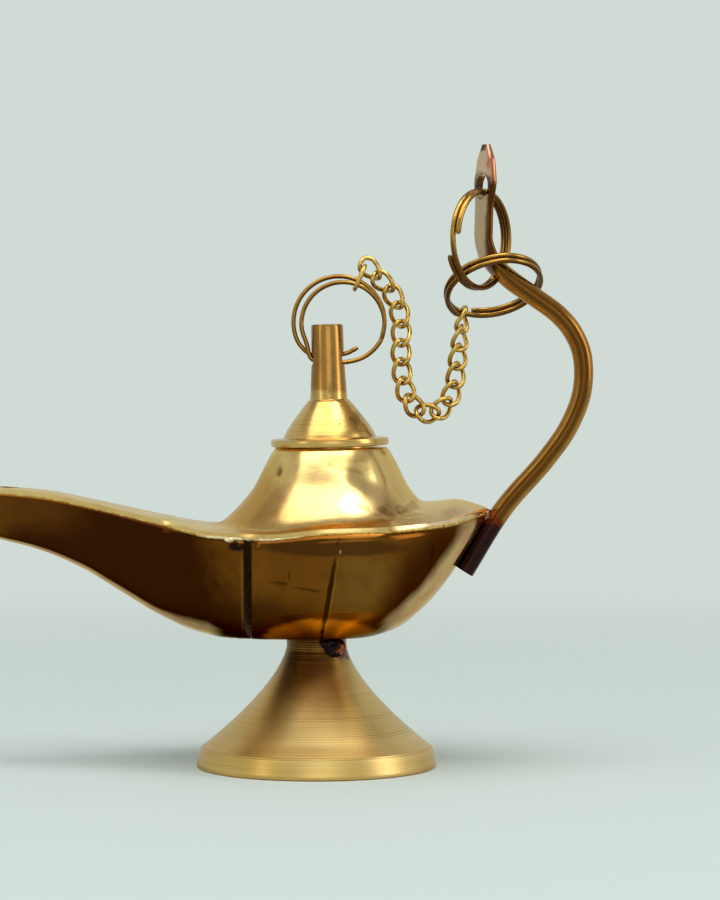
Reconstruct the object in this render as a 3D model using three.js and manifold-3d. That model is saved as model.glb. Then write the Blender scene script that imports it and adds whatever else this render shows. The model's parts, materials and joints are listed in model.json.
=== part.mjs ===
// Brass oil lamp: a leaf-shaped body with a long spout on a turned foot, a turned lid held by a
// ring and a curb chain, and a bent rod handle with two split rings.
// Millimetres, +Z up. The spout points to -X. The origin is the middle of the lamp's length and
// width, on the surface it stands on.
import * as THREE from "three";
import { mergeVertices } from "three/addons/utils/BufferGeometryUtils.js";
import Module from "manifold-3d";

const wasm = await Module();
wasm.setup();

// Clearances: between soldered edges, and between pieces that slide or hang in each other
const seamGap = 0.3;
const runningGap = 0.2;

// Foot: a flared cone on a low band, hollow underneath
const footRadius = 24;
const footHeight = 26.3;
const footBandHeight = 4.2;
const footBandTaper = 0.8;
const footCrease = 0.5;
const footNeckRadius = 6;
const footNeckHeight = 2;
const footWall = 2.2;
const footFlarePower = 1.5;

// Body: lengths from the foot's axis, height from the bowl's flat floor
const spoutReach = 67.5;
const sternReach = 34.3;
const bodyHalfWidth = 25;
const bowlDepth = 21.7;
const shellWall = 1;
const spoutSeam = 12.8;
const seamGrooveDepth = 0.5;
const seamGrooveWidth = 0.9;
const wickOpeningLength = 6.6;
const wickOpeningWidth = 5.4;
const wickOpeningSetback = 1.3;

// Neck and bell of the top shell, heights from the bowl's floor
const neckOffset = 3;
const neckRadius = 11.2;
const neckBore = 9.4;
const neckHeight = 37.6;

// Lid, heights from its flange's underside
const lidFlangeRadius = 11.8;
const lidFlangeThickness = 1.5;
const lidDomeRadius = 9.2;
const lidDomeHeight = 7.6;
const lidShoulderRadius = 4.1;
const lidStemRadius = 3.2;
const lidStemFootRadius = 3.7;
const lidStemHeight = 15.2;
const lidStemHole = 1.65;
const lidStemHoleDrop = 6.8;
const lidPlugDepth = 3;
const lidPlugWall = 1.2;
const lidTilt = THREE.MathUtils.degToRad(1.4);

// Handle: a round rod, flattened above its upper bend into a blade with a drilled hood. It bows out
// behind the stern and rises above it.
const handleBow = 18.8;
const handleRise = 73.6;
const rodRadius = 1.95;
const bladeHalfThickness = 0.8;
const bladeHalfWidth = 2.9;
const hoodHalfWidth = 3.6;
const hoodTipHalfWidth = 1.2;
const bladeYaw = THREE.MathUtils.degToRad(25);
const hoodHoleRadius = 2.6;
const hoodHoleDrop = 8.4;

// Split rings and chain: wire diameters, and radii to the middle of the wire
const handleRingWire = 1.15;
const handleRingRadius = 9.6;
const handleRingTurns = 1.93;
const handleRingTurnGap = 0.1;
const hoodRingLift = 1;
const rodRingLead = 1.15;
const rodRingShift = 2.9;
const rodRingRise = 45.3;
const lidRingWire = 0.95;
const lidRingRadius = 8.3;
const lidRingSpread = 0.8;
const lidRingTurnGap = 1.15;
const lidRingLead = 3.2;
const lidRingRise = 6.8;
const lidRingGrip = THREE.MathUtils.degToRad(66);
const rodRingGrip = THREE.MathUtils.degToRad(108);
const chainWire = 0.85;
const chainSlack = 0.3;
const chainSag = 23;
const chainLinkWidth = 4.3;
const chainLinkSquareness = 2.5;
const firstLinkEye = 4.3;
const firstLinkWidth = 5.4;
const chainLinkCount = 16;
const chainLinkTwist = THREE.MathUtils.degToRad(90);

const brass = { color: 0xb98a3a, roughness: 0.25, metalness: 1 };
const wireBrass = { color: 0x9c7a3c, roughness: 0.3, metalness: 1 };

// A smooth curve through [x, y] points that never swings past them.
function curveThrough(points) {
  const slopeOf = (i) => (points[i + 1][1] - points[i][1]) / (points[i + 1][0] - points[i][0]);
  const tangents = points.map((point, i) => {
    if (i === 0) return slopeOf(0);
    if (i === points.length - 1) return slopeOf(i - 1);
    const before = slopeOf(i - 1);
    const after = slopeOf(i);
    return before * after <= 0 ? 0 : (2 * before * after) / (before + after);
  });
  return (x) => {
    let i = 0;
    while (i < points.length - 2 && x > points[i + 1][0]) i++;
    const [x0, y0] = points[i];
    const [x1, y1] = points[i + 1];
    const span = x1 - x0;
    const t = THREE.MathUtils.clamp((x - x0) / span, 0, 1);
    const ease = t * t * (3 - 2 * t);
    const lean = t * (1 - t);
    return y0 + (y1 - y0) * ease + span * lean * (tangents[i] * (1 - t) - tangents[i + 1] * t);
  };
}

// Closed solid from rings of points, each ring joined to the next and both ends capped.
function loft(rings) {
  const size = rings[0].length;
  const positions = rings.flat().flatMap((point) => [point.x, point.y, point.z]);
  const faces = [];
  for (let ring = 0; ring < rings.length - 1; ring++) {
    for (let i = 0; i < size; i++) {
      const a = ring * size + i;
      const b = ring * size + ((i + 1) % size);
      faces.push(a, b, b + size, a, b + size, a + size);
    }
  }
  const lastRing = (rings.length - 1) * size;
  for (let i = 1; i < size - 1; i++) {
    faces.push(0, i + 1, i);
    faces.push(lastRing, lastRing + i, lastRing + i + 1);
  }
  const geometry = new THREE.BufferGeometry();
  geometry.setAttribute("position", new THREE.Float32BufferAttribute(positions, 3));
  geometry.setIndex(faces);
  return geometry;
}

function solidFrom(geometry) {
  const bare = geometry.clone();
  bare.deleteAttribute("normal");
  bare.deleteAttribute("uv");
  const merged = mergeVertices(bare, 1e-4);
  const mesh = new wasm.Mesh({
    numProp: 3,
    vertProperties: merged.attributes.position.array,
    triVerts: new Uint32Array(merged.index.array),
  });
  return new wasm.Manifold(mesh);
}

function geometryFrom(solid) {
  const mesh = solid.getMesh();
  const geometry = new THREE.BufferGeometry();
  geometry.setAttribute("position", new THREE.BufferAttribute(mesh.vertProperties, 3));
  geometry.setIndex(new THREE.BufferAttribute(mesh.triVerts, 1));
  const faceted = geometry.toNonIndexed();
  faceted.computeVertexNormals();
  return faceted;
}

function named(name, geometry, finish = brass) {
  const mesh = new THREE.Mesh(geometry, new THREE.MeshStandardMaterial(finish));
  mesh.name = name;
  return mesh;
}

function turned(outline, segments = 32) {
  const points = outline.map(([radius, height]) => new THREE.Vector2(radius, height));
  return new THREE.LatheGeometry(points, segments).rotateX(Math.PI / 2);
}

function box(from, to) {
  const size = new THREE.Vector3().subVectors(to, from);
  const middle = new THREE.Vector3().addVectors(from, to).multiplyScalar(0.5);
  return new THREE.BoxGeometry(size.x, size.y, size.z).translate(middle.x, middle.y, middle.z);
}

// Foot: the cone's radius grows from the neck down to the crease above the band.
function makeFoot() {
  const coneBottom = footRadius - footBandTaper - footCrease;
  const coneTop = footHeight - footNeckHeight;
  const flare = (share) => footNeckRadius + (coneBottom - footNeckRadius) * share ** footFlarePower;
  const coneHeight = (share) => coneTop + (footBandHeight - coneTop) * share;
  const steps = 8;
  const outside = [[0, footHeight], [footNeckRadius, footHeight]];
  const inside = [];
  for (let step = 0; step <= steps; step++) {
    const share = step / steps;
    outside.push([flare(share), coneHeight(share)]);
  }
  outside.push([footRadius - footBandTaper, footBandHeight - footCrease / 2]);
  outside.push([footRadius, 0.4]);
  outside.push([footRadius - 0.3, 0]);
  for (let step = steps; step >= 2; step -= 2) {
    const share = step / steps;
    inside.push([flare(share) - footWall, coneHeight(share) - footWall]);
  }
  inside.unshift([coneBottom - footWall, 0]);
  inside.push([0, inside.at(-1)[1]]);
  return named("foot", turned([...outside, ...inside].reverse(), 40));
}

// Body curves, all over x measured from the foot's axis: share -1 is the spout's tip, 1 the stern's.
const along = (share) => share * (share < 0 ? spoutReach : sternReach);
const bodyCurve = (size, outline) =>
  curveThrough(outline.map(([share, part]) => [along(share), part * size]));
const halfWidthAt = bodyCurve(bodyHalfWidth, [
  [-1, 0.06], [-0.992, 0.13], [-0.975, 0.165], [-0.95, 0.187], [-0.82, 0.24], [-0.64, 0.3],
  [-0.46, 0.39], [-0.4, 0.475], [-0.3, 0.69], [-0.15, 0.915], [0.08, 1], [0.35, 0.955],
  [0.58, 0.765], [0.79, 0.46], [1, 0.02],
]);
const rimHeightAt = bodyCurve(bowlDepth, [
  [-1, 1.336], [-0.815, 1.286], [-0.637, 1.175], [-0.46, 1.05], [-0.3, 0.954], [-0.15, 0.945],
  [0.087, 1], [0.44, 1.014], [0.76, 1.05], [1, 1.129],
]);
const keelHeightAt = bodyCurve(bowlDepth, [
  [-1, 0.935], [-0.82, 0.788], [-0.7, 0.631], [-0.582, 0.41], [-0.464, 0.189], [-0.345, 0.032],
  [-0.178, -0.065], [0, -0.078], [0.233, -0.032], [0.458, 0.069], [0.603, 0.235],
  [0.732, 0.456], [0.808, 0.622], [1, 1.09],
]);
const crownAt = bodyCurve(bowlDepth, [
  [-1, 0.005], [-0.4, 0.015], [-0.22, 0.04], [0.09, 0.07], [0.55, 0.15], [0.78, 0.155], [1, 0.01],
]);
const sectionPowerAt = bodyCurve(1, [[-1, 2], [-0.6, 2], [-0.35, 2.3], [1, 2.3]]);
const bellHeightAt = curveThrough([
  [neckRadius, neckHeight], [neckRadius + 1, neckHeight - 1.5], [neckRadius + 2.4, neckHeight - 4.2],
  [neckRadius + 4, neckHeight - 7.4], [neckRadius + 6.2, neckHeight - 10.4],
  [neckRadius + 9, neckHeight - 13.4], [neckRadius + 12.8, neckHeight - 17.1],
  [neckRadius + 18.8, neckHeight - 23.6],
]);

// Places along the body, closer together at the tips and at the groove of the spout's seam
function bodyStations(inset) {
  const shares = [
    -1, -0.992, -0.975, -0.95, -0.87, -0.78, -0.69, -0.6, -0.52, -0.45, -0.38, -0.31, -0.25,
    -0.1, -0.03, 0.08, 0.2, 0.32, 0.44, 0.55, 0.65, 0.74, 0.82, 0.89, 0.95, 1,
  ];
  const groove = [-1.8, -0.8, 0, 0.8, 1.8].map((part) => part * seamGrooveWidth - spoutSeam);
  return [...shares.map(along), ...groove]
    .sort((a, b) => a - b)
    .filter((x) => x >= inset - spoutReach)
    .filter((x) => halfWidthAt(x) > inset + 0.4 || inset === 0);
}

const grooveAt = (x) => seamGrooveDepth * Math.exp(-(((x + spoutSeam) / seamGrooveWidth) ** 2));

// Solid of the lower body: U-shaped sections with a flat floor, open sides closed above the rim.
function lowerBody(inset) {
  const arcSteps = 14;
  const rings = [];
  for (const x of bodyStations(inset)) {
    const slope = (keelHeightAt(x + 0.05) - keelHeightAt(x - 0.05)) / 0.1;
    const halfWidth = halfWidthAt(x) - inset - grooveAt(x);
    const rim = rimHeightAt(x);
    const keel = keelHeightAt(x) + inset * Math.hypot(1, slope);
    if (rim - keel < 0.3) continue;
    const power = 2 / sectionPowerAt(x);
    const ring = [new THREE.Vector3(x, -halfWidth, rim + 4)];
    for (let step = 0; step <= arcSteps; step++) {
      const angle = (Math.PI * step) / arcSteps;
      const cosine = Math.cos(angle);
      const y = -halfWidth * Math.sign(cosine) * Math.abs(cosine) ** power;
      const z = rim - (rim - keel) * Math.sin(angle) ** power;
      ring.push(new THREE.Vector3(x, y, Math.max(z, inset)));
    }
    ring.push(new THREE.Vector3(x, halfWidth, rim + 4));
    rings.push(ring);
  }
  return solidFrom(loft(rings));
}

// Everything below the rim's curve, moved up by a rise.
function belowRim(rise) {
  const deep = bowlDepth;
  const side = new THREE.Shape([
    new THREE.Vector2(-spoutReach - 1, -deep),
    new THREE.Vector2(sternReach + 1, -deep),
    new THREE.Vector2(sternReach + 1, rimHeightAt(sternReach) + rise),
  ]);
  const stations = bodyStations(0).reverse();
  stations.forEach((x) => side.lineTo(x, rimHeightAt(x) + rise));
  side.lineTo(-spoutReach - 1, rimHeightAt(-spoutReach) + rise);
  const width = 2 * bodyHalfWidth + 4;
  const slab = new THREE.ExtrudeGeometry(side, { depth: width, bevelEnabled: false });
  return solidFrom(slab.rotateX(Math.PI / 2).translate(0, width / 2, 0));
}

function makeLowerShells() {
  const rimmed = lowerBody(0).subtract(lowerBody(shellWall)).intersect(belowRim(-seamGap / 2));
  const tall = 3 * bowlDepth;
  const wide = 2 * bodyHalfWidth;
  const seam = -spoutSeam;
  const bowlSide = box(
    new THREE.Vector3(seam + seamGap / 2, -wide, -tall),
    new THREE.Vector3(2 * sternReach, wide, tall),
  );
  const spoutSide = box(
    new THREE.Vector3(-2 * spoutReach, -wide, -tall),
    new THREE.Vector3(seam - seamGap / 2, wide, tall),
  );
  return [
    named("bowl_shell", geometryFrom(rimmed.intersect(solidFrom(bowlSide)))),
    named("spout_trough", geometryFrom(rimmed.intersect(solidFrom(spoutSide)))),
  ];
}

// Height of the top shell's upper face: a crowned deck that swells into the bell round the neck.
function topHeightAt(x, y) {
  const halfWidth = Math.max(halfWidthAt(x), 0.3);
  const across = Math.min(Math.abs(y) / halfWidth, 1);
  const deck = rimHeightAt(x) + shellWall + crownAt(x) * (1 - across ** 2);
  const rise = bellHeightAt(Math.hypot(x - neckOffset, y)) - deck;
  const softness = 0.9;
  return deck + ((rise + Math.hypot(rise, softness)) / 2) * (1 - across ** 8);
}

// Solid under the top shell's upper face, made of spokes from the leaf-shaped edge to the neck.
function upperBody(inset) {
  const stations = bodyStations(inset);
  const plan = [
    ...stations.map((x) => [x, inset - halfWidthAt(x)]),
    ...stations.toReversed().map((x) => [x, halfWidthAt(x) - inset]),
  ];
  const spokeSteps = 8;
  const innerRadius = neckRadius - inset * 0.8;
  const rings = [plan.map(([x, y]) => new THREE.Vector3(x, y, 0))];
  for (let step = 0; step <= spokeSteps; step++) {
    rings.push(plan.map(([x, y]) => {
      const reach = Math.hypot(x - neckOffset, y);
      const crowding = 1 + Math.max(reach - bodyHalfWidth, 0) * 0.02;
      const radius = innerRadius + (reach - innerRadius) * (1 - step / spokeSteps) ** crowding;
      const planX = neckOffset + ((x - neckOffset) * radius) / reach;
      const planY = (y * radius) / reach;
      const slopeX = (topHeightAt(planX + 0.1, planY) - topHeightAt(planX - 0.1, planY)) / 0.2;
      const slopeY = (topHeightAt(planX, planY + 0.1) - topHeightAt(planX, planY - 0.1)) / 0.2;
      const drop = inset * Math.min(Math.hypot(1, slopeX, slopeY), 1.8);
      return new THREE.Vector3(planX, planY, topHeightAt(planX, planY) - drop);
    }));
  }
  return solidFrom(loft(rings));
}

function makeTopShell() {
  const bore = new THREE.CylinderGeometry(neckBore, neckBore, 2 * neckHeight, 40);
  bore.rotateX(Math.PI / 2).translate(neckOffset, 0, neckHeight);
  const opening = new THREE.CylinderGeometry(1, 1, bowlDepth, 24);
  opening.rotateX(Math.PI / 2).scale(wickOpeningLength / 2, wickOpeningWidth / 2, 1);
  const openingX = -spoutReach + wickOpeningSetback + wickOpeningLength / 2;
  opening.translate(openingX, 0, rimHeightAt(openingX));
  const shell = upperBody(0)
    .subtract(upperBody(shellWall))
    .subtract(belowRim(seamGap / 2))
    .subtract(solidFrom(bore))
    .subtract(solidFrom(opening));
  return named("top_shell", geometryFrom(shell));
}

// Lid: plug, flange, domed cone and stem turned in one piece, with a hole across the stem
function makeLid() {
  const plugRadius = neckBore - runningGap - 0.3;
  const domeBottom = lidFlangeThickness + 0.4;
  const domeTop = lidFlangeThickness + lidDomeHeight;
  const stemTop = domeTop + lidStemHeight;
  const outline = [
    [0, 0],
    [plugRadius - lidPlugWall, 0],
    [plugRadius - lidPlugWall, -lidPlugDepth],
    [plugRadius, -lidPlugDepth],
    [plugRadius, 0],
    [lidFlangeRadius - 0.2, 0],
    [lidFlangeRadius, 0.3],
    [lidFlangeRadius, lidFlangeThickness - 0.3],
    [lidFlangeRadius - 0.3, lidFlangeThickness],
    [lidDomeRadius + 0.5, lidFlangeThickness + 0.1],
  ];
  const domeSteps = 5;
  for (let step = 0; step <= domeSteps; step++) {
    const share = step / domeSteps;
    const radius = THREE.MathUtils.lerp(lidDomeRadius, lidShoulderRadius, share ** 1.2);
    outline.push([radius, THREE.MathUtils.lerp(domeBottom, domeTop, share)]);
  }
  outline.push([lidStemFootRadius, domeTop + 0.3]);
  outline.push([lidStemRadius + 0.1, domeTop + lidStemHeight / 2]);
  outline.push([lidStemRadius, stemTop - 0.3]);
  outline.push([lidStemRadius - 0.3, stemTop]);
  outline.push([0, stemTop]);
  const hole = new THREE.CylinderGeometry(lidStemHole, lidStemHole, 4 * lidStemRadius, 20);
  hole.rotateZ(Math.PI / 2).translate(0, 0, stemTop - lidStemHoleDrop);
  const solid = solidFrom(turned(outline)).subtract(solidFrom(hole));
  return named("lid", geometryFrom(solid));
}

const lidHoleHeight = lidFlangeThickness + lidDomeHeight + lidStemHeight - lidStemHoleDrop;

const sternPoint = new THREE.Vector3(sternReach, 0, rimHeightAt(sternReach));

// Handle: the rod's middle line in the XZ plane, from the sawn end at the stern to the hood's tip,
// in parts of the handle's bow and rise
const handleRoute = new THREE.CatmullRomCurve3(
  [
    [-0.25, -0.159], [0.1702, 0.0136], [0.6117, 0.144], [0.8617, 0.2364], [1, 0.3315], [1, 0.4293],
    [0.8936, 0.4946], [0.7394, 0.5408], [0.4787, 0.5897], [0.2021, 0.6413], [0.0319, 0.6848],
    [-0.0426, 0.7337], [-0.0479, 0.788], [-0.0372, 0.856], [-0.0266, 0.9239], [-0.0213, 1],
  ].map(([x, z]) => new THREE.Vector3(x * handleBow, 0, z * handleRise).add(sternPoint)),
  false,
  "centripetal",
);
const handleSteps = 46;
const bladeStart = 0.66;
const bladeFull = 0.8;
const hoodMiddle = 0.925;

function makeHandle() {
  const sides = 12;
  const widthAt = curveThrough([
    [0, rodRadius], [bladeStart, rodRadius], [bladeFull, bladeHalfWidth], [0.87, bladeHalfWidth],
    [hoodMiddle, hoodHalfWidth], [0.965, hoodHalfWidth * 0.82], [1, hoodTipHalfWidth],
  ]);
  const thicknessAt = curveThrough([
    [0, rodRadius], [bladeStart, rodRadius], [bladeFull, bladeHalfThickness],
    [0.96, bladeHalfThickness], [1, bladeHalfThickness * 0.6],
  ]);
  const squarenessAt = curveThrough([[0, 2], [bladeStart, 2], [bladeFull, 3.4], [1, 3.4]]);
  const rings = [];
  for (let step = 0; step <= handleSteps; step++) {
    const share = step / handleSteps;
    const middle = handleRoute.getPointAt(share);
    const forward = handleRoute.getTangentAt(share);
    const across = new THREE.Vector3(0, 1, 0);
    const outward = new THREE.Vector3().crossVectors(across, forward);
    const turn = bladeYaw * THREE.MathUtils.smoothstep(share, bladeStart, bladeFull);
    across.applyAxisAngle(forward, turn);
    outward.applyAxisAngle(forward, turn);
    const power = 2 / squarenessAt(share);
    rings.push(Array.from({ length: sides }, (unused, side) => {
      const angle = (2 * Math.PI * side) / sides;
      const cosine = Math.cos(angle);
      const sine = Math.sin(angle);
      return middle.clone()
        .addScaledVector(outward, thicknessAt(share) * Math.sign(cosine) * Math.abs(cosine) ** power)
        .addScaledVector(across, widthAt(share) * Math.sign(sine) * Math.abs(sine) ** power);
    }));
  }
  const hole = new THREE.CylinderGeometry(hoodHoleRadius, hoodHoleRadius, 4 * hoodHalfWidth, 20);
  hole.rotateZ(Math.PI / 2).rotateZ(bladeYaw).translate(hoodHole.x, hoodHole.y, hoodHole.z);
  const saddle = lowerBody(-seamGap);
  const solid = solidFrom(loft(rings))
    .subtract(solidFrom(hole))
    .subtract(saddle)
    .subtract(saddle.translate([seamGap, 0, 0]));
  return named("handle", geometryFrom(solid));
}

const hoodTip = handleRoute.getPointAt(1);
const hoodHole = new THREE.Vector3(hoodTip.x - 0.2, 0, hoodTip.z - hoodHoleDrop);

// The middle line of a split ring: turns of wire lying side by side, in the ring's own XY plane.
class SplitRingLine extends THREE.Curve {
  constructor(start) {
    super();
    this.start = start;
  }

  getPoint(share, target = new THREE.Vector3()) {
    const angle = this.start + share * handleRingTurns * 2 * Math.PI;
    const side = (share - 0.5) * handleRingTurns * (handleRingWire + handleRingTurnGap);
    return target.set(handleRingRadius * Math.cos(angle), handleRingRadius * Math.sin(angle), side);
  }
}

function wireAlong(line, wire, steps) {
  const sides = 6;
  const section = new THREE.Shape(Array.from({ length: sides }, (unused, side) => {
    const angle = (2 * Math.PI * side) / sides;
    return new THREE.Vector2(Math.cos(angle), Math.sin(angle)).multiplyScalar(wire / 2);
  }));
  return new THREE.ExtrudeGeometry(section, { extrudePath: line, steps });
}

function splitRing(name, start) {
  return named(name, wireAlong(new SplitRingLine(start), handleRingWire, 48), wireBrass);
}

// Hood ring: hangs by its top in the hood's hole, its plane turned away from the blade's.
function makeHoodRing() {
  const ring = splitRing("hood_ring", THREE.MathUtils.degToRad(200));
  const yaw = THREE.MathUtils.degToRad(54.5);
  const lean = THREE.MathUtils.degToRad(5.4);
  const sideways = new THREE.Vector3(Math.cos(yaw), Math.sin(yaw), 0);
  const wireHeight = hoodHole.z - hoodHoleRadius + handleRingWire / 2 + hoodRingLift;
  ring.rotation.set(Math.PI / 2, 0, yaw, "ZYX");
  ring.position.set(hoodHole.x, hoodHole.y, wireHeight - handleRingRadius * Math.cos(lean));
  ring.position.addScaledVector(sideways, -handleRingRadius * Math.sin(lean) - hoodRingLift);
  return ring;
}

// Rod ring: lies slanting round the rod below the blade, its near side high, linked to the hood
// ring. The chain hangs where the wire's two ends leave a single turn between them.
function makeRodRing() {
  const endGap = Math.PI * (2 - handleRingTurns);
  const ring = splitRing("rod_ring", rodRingGrip + endGap);
  ring.rotation.set(
    THREE.MathUtils.degToRad(-36),
    THREE.MathUtils.degToRad(2.4),
    THREE.MathUtils.degToRad(21.2),
    "ZYX",
  );
  ring.position.set(rodRingLead, rodRingShift, rodRingRise).add(sternPoint);
  return ring;
}

// Lid ring: its wire runs through the stem's cross hole, round a wide turn at the back, through the
// hole again and round a narrower turn at the front, from the hole's middle in the lid's XZ plane.
function makeLidRing() {
  const turn = (centreX, centreZ, radius, y, from, to) => {
    const steps = 9;
    return Array.from({ length: steps + 1 }, (unused, step) => {
      const angle = THREE.MathUtils.degToRad(from + ((to - from) * step) / steps);
      return [centreX + radius * Math.cos(angle), y, centreZ + radius * Math.sin(angle)];
    });
  };
  const back = lidRingTurnGap / 2;
  const wideRadius = lidRingRadius + lidRingSpread;
  const route = [
    [6.1, back, 2], [lidStemRadius + 0.4, back, 0.85], [0, back, 0.6], [-lidStemRadius, back, 0.7],
    ...turn(lidRingLead - lidRingSpread, lidRingRise + 0.4, wideRadius, back, 205, -8),
    [10.4, 0.2, 2.9], [7.5, 0, 0.2], [lidStemRadius + 0.6, -0.2, -0.85], [0, -back, -0.6],
    [-lidStemRadius, -back, -0.1],
    ...turn(lidRingLead, lidRingRise, lidRingRadius, -back, 208, -22),
  ].map(([x, y, z]) => new THREE.Vector3(x, y, z));
  const line = new THREE.CatmullRomCurve3(route, false, "centripetal");
  const ring = named("lid_ring", wireAlong(line, lidRingWire, 56), wireBrass);
  ring.position.z = lidHoleHeight;
  return ring;
}

// Curb link: an oval of wire, twisted along its length so that its neighbours lie flat beside it.
class LinkLine extends THREE.Curve {
  constructor(length, width, twist) {
    super();
    this.halfLength = (length - chainWire) / 2;
    this.halfWidth = (width - chainWire) / 2;
    this.twist = twist;
  }

  getPoint(share, target = new THREE.Vector3()) {
    const angle = 2 * Math.PI * share;
    const power = 2 / chainLinkSquareness;
    const lengthwise = Math.sign(Math.cos(angle)) * Math.abs(Math.cos(angle)) ** power;
    const across = this.halfWidth * Math.sign(Math.sin(angle)) * Math.abs(Math.sin(angle)) ** power;
    const twist = (this.twist / 2) * lengthwise;
    return target.set(
      this.halfLength * lengthwise,
      across * Math.cos(twist),
      across * Math.sin(twist),
    );
  }
}

const linkAlong = (line) => new THREE.TubeGeometry(line, 18, chainWire / 2, 6, true);

// Points that divide a curve into equal straight steps.
function equalSteps(curve, count) {
  const samples = curve.getSpacedPoints(6000);
  const walk = (length) => {
    const stops = [samples[0]];
    for (const sample of samples) {
      if (sample.distanceTo(stops.at(-1)) >= length) stops.push(sample);
    }
    return stops;
  };
  let short = 0;
  let long = (1.2 * curve.getLength()) / count;
  for (let round = 0; round < 24; round++) {
    const middle = (short + long) / 2;
    if (walk(middle).length > count) short = middle;
    else long = middle;
  }
  return walk(short).slice(0, count + 1);
}

// How far each link's flat is rolled about the chain from facing the front, in degrees.
const linkRollAt = curveThrough([[0, 38], [3, 36], [7, 2], [12, 0], [15, 45]]);

// First link: a plain oval round both turns of the lid ring, standing across the wire.
function makeFirstLink(grip, outward) {
  const line = new LinkLine(firstLinkEye + 2 * chainWire, firstLinkWidth, 0);
  const link = named("chain_link_01", linkAlong(line), wireBrass);
  const turnsHalfDepth = (lidRingSpread + lidRingWire) / 2;
  link.position.copy(grip).addScaledVector(outward, firstLinkEye / 2 - turnsHalfDepth - runningGap);
  link.rotation.set(0, -Math.atan2(outward.z, outward.x), 0);
  return link;
}

// The chain hangs in an upright plane from the first link down, and up to the rod ring. Its curve is
// given by shares of the way across and parts of the sag below the straight line between its ends.
function makeChain(lidRing, rodRing) {
  const outward = new THREE.Vector3(Math.cos(lidRingGrip), 0, Math.sin(lidRingGrip));
  const turnsRadius = lidRingRadius + lidRingSpread / 2;
  const grip = outward.clone().multiplyScalar(turnsRadius);
  grip.add(new THREE.Vector3(lidRingLead - lidRingSpread / 2, 0, lidRingRise + 0.2));
  grip.applyMatrix4(lidRing.matrixWorld);
  const firstLink = makeFirstLink(grip, outward);
  const forward = new THREE.Vector3(outward.z, 0, -outward.x);
  const start = firstLink.position.clone()
    .addScaledVector(outward, (firstLinkEye + chainWire) / 2 + runningGap)
    .addScaledVector(forward, -chainWire / 2 - 0.1);
  const hook = new THREE.Vector3(Math.cos(rodRingGrip), Math.sin(rodRingGrip), 0);
  hook.multiplyScalar(handleRingRadius).applyMatrix4(rodRing.matrixWorld);
  const end = hook.clone().add(new THREE.Vector3(0, 0, handleRingWire / 2));
  const across = (share) => new THREE.Vector3().lerpVectors(start, end, share);
  const sag = [
    [0.16, 0.0671], [0.3, 0.1461], [0.37, 0.3225], [0.37, 0.5834], [0.38, 0.8185], [0.42, 0.9765],
    [0.52, 1.0713], [0.65, 1.0673], [0.78, 0.9676], [0.88, 0.7929], [0.93, 0.5034], [0.96, 0.2393],
  ].map(([share, drop]) => across(share).sub(new THREE.Vector3(0, 0, drop * chainSag)));
  const route = new THREE.CatmullRomCurve3([start, ...sag, end], false, "centripetal");
  const joints = equalSteps(route, chainLinkCount);
  const yaw = Math.atan2(end.y - start.y, end.x - start.x);
  const pitch = joints[0].distanceTo(joints[1]);
  const line = new LinkLine(pitch + 2 * chainWire + chainSlack, chainLinkWidth, chainLinkTwist);
  const links = [firstLink];
  for (let i = 0; i < chainLinkCount; i++) {
    const forward = new THREE.Vector3().subVectors(joints[i + 1], joints[i]);
    const climb = Math.atan2(forward.z, Math.hypot(forward.x, forward.y) * Math.sign(forward.x));
    const link = named(`chain_link_${String(i + 2).padStart(2, "0")}`, linkAlong(line), wireBrass);
    link.position.addVectors(joints[i], joints[i + 1]).multiplyScalar(0.5);
    const roll = THREE.MathUtils.degToRad(linkRollAt(i));
    link.rotation.set(Math.PI / 2 + roll, -climb, yaw, "ZYX");
    links.push(link);
  }
  return links;
}

const lamp = new THREE.Group();
const body = new THREE.Group();
const lid = new THREE.Group();
const lidRing = makeLidRing();
const rodRing = makeRodRing();
lid.position.set(neckOffset - 0.3, 0, neckHeight + 0.1 + lidFlangeRadius * Math.sin(lidTilt));
lid.rotation.y = -lidTilt;
lid.add(makeLid(), lidRing);
body.add(...makeLowerShells(), makeTopShell(), makeHandle(), makeHoodRing(), rodRing, lid);
body.updateMatrixWorld(true);
body.add(...makeChain(lidRing, rodRing));
body.position.z = footHeight;
lamp.add(makeFoot(), body);
const middle = new THREE.Box3().setFromObject(lamp, true).getCenter(new THREE.Vector3());
lamp.position.set(-middle.x, -middle.y, 0);

export default lamp;
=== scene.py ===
# %% [markdown]
# # A brass oil lamp
# The lamp is pressed from two brass shells that are soldered along a rim, with a long spout for the
# wick, a turned foot, a turned lid on a curb chain, and a handle bent from rod. Its solids come from
# a CAD frame that already has the right sizes. This lesson gives them fine surfaces and finishes.

# %% Load the frame
import json
from math import atan2, copysign, cos, degrees, exp, hypot, pi, radians, sin, tanh, tau
import bmesh
import bpy
from mathutils import Euler, Matrix, Vector


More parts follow.
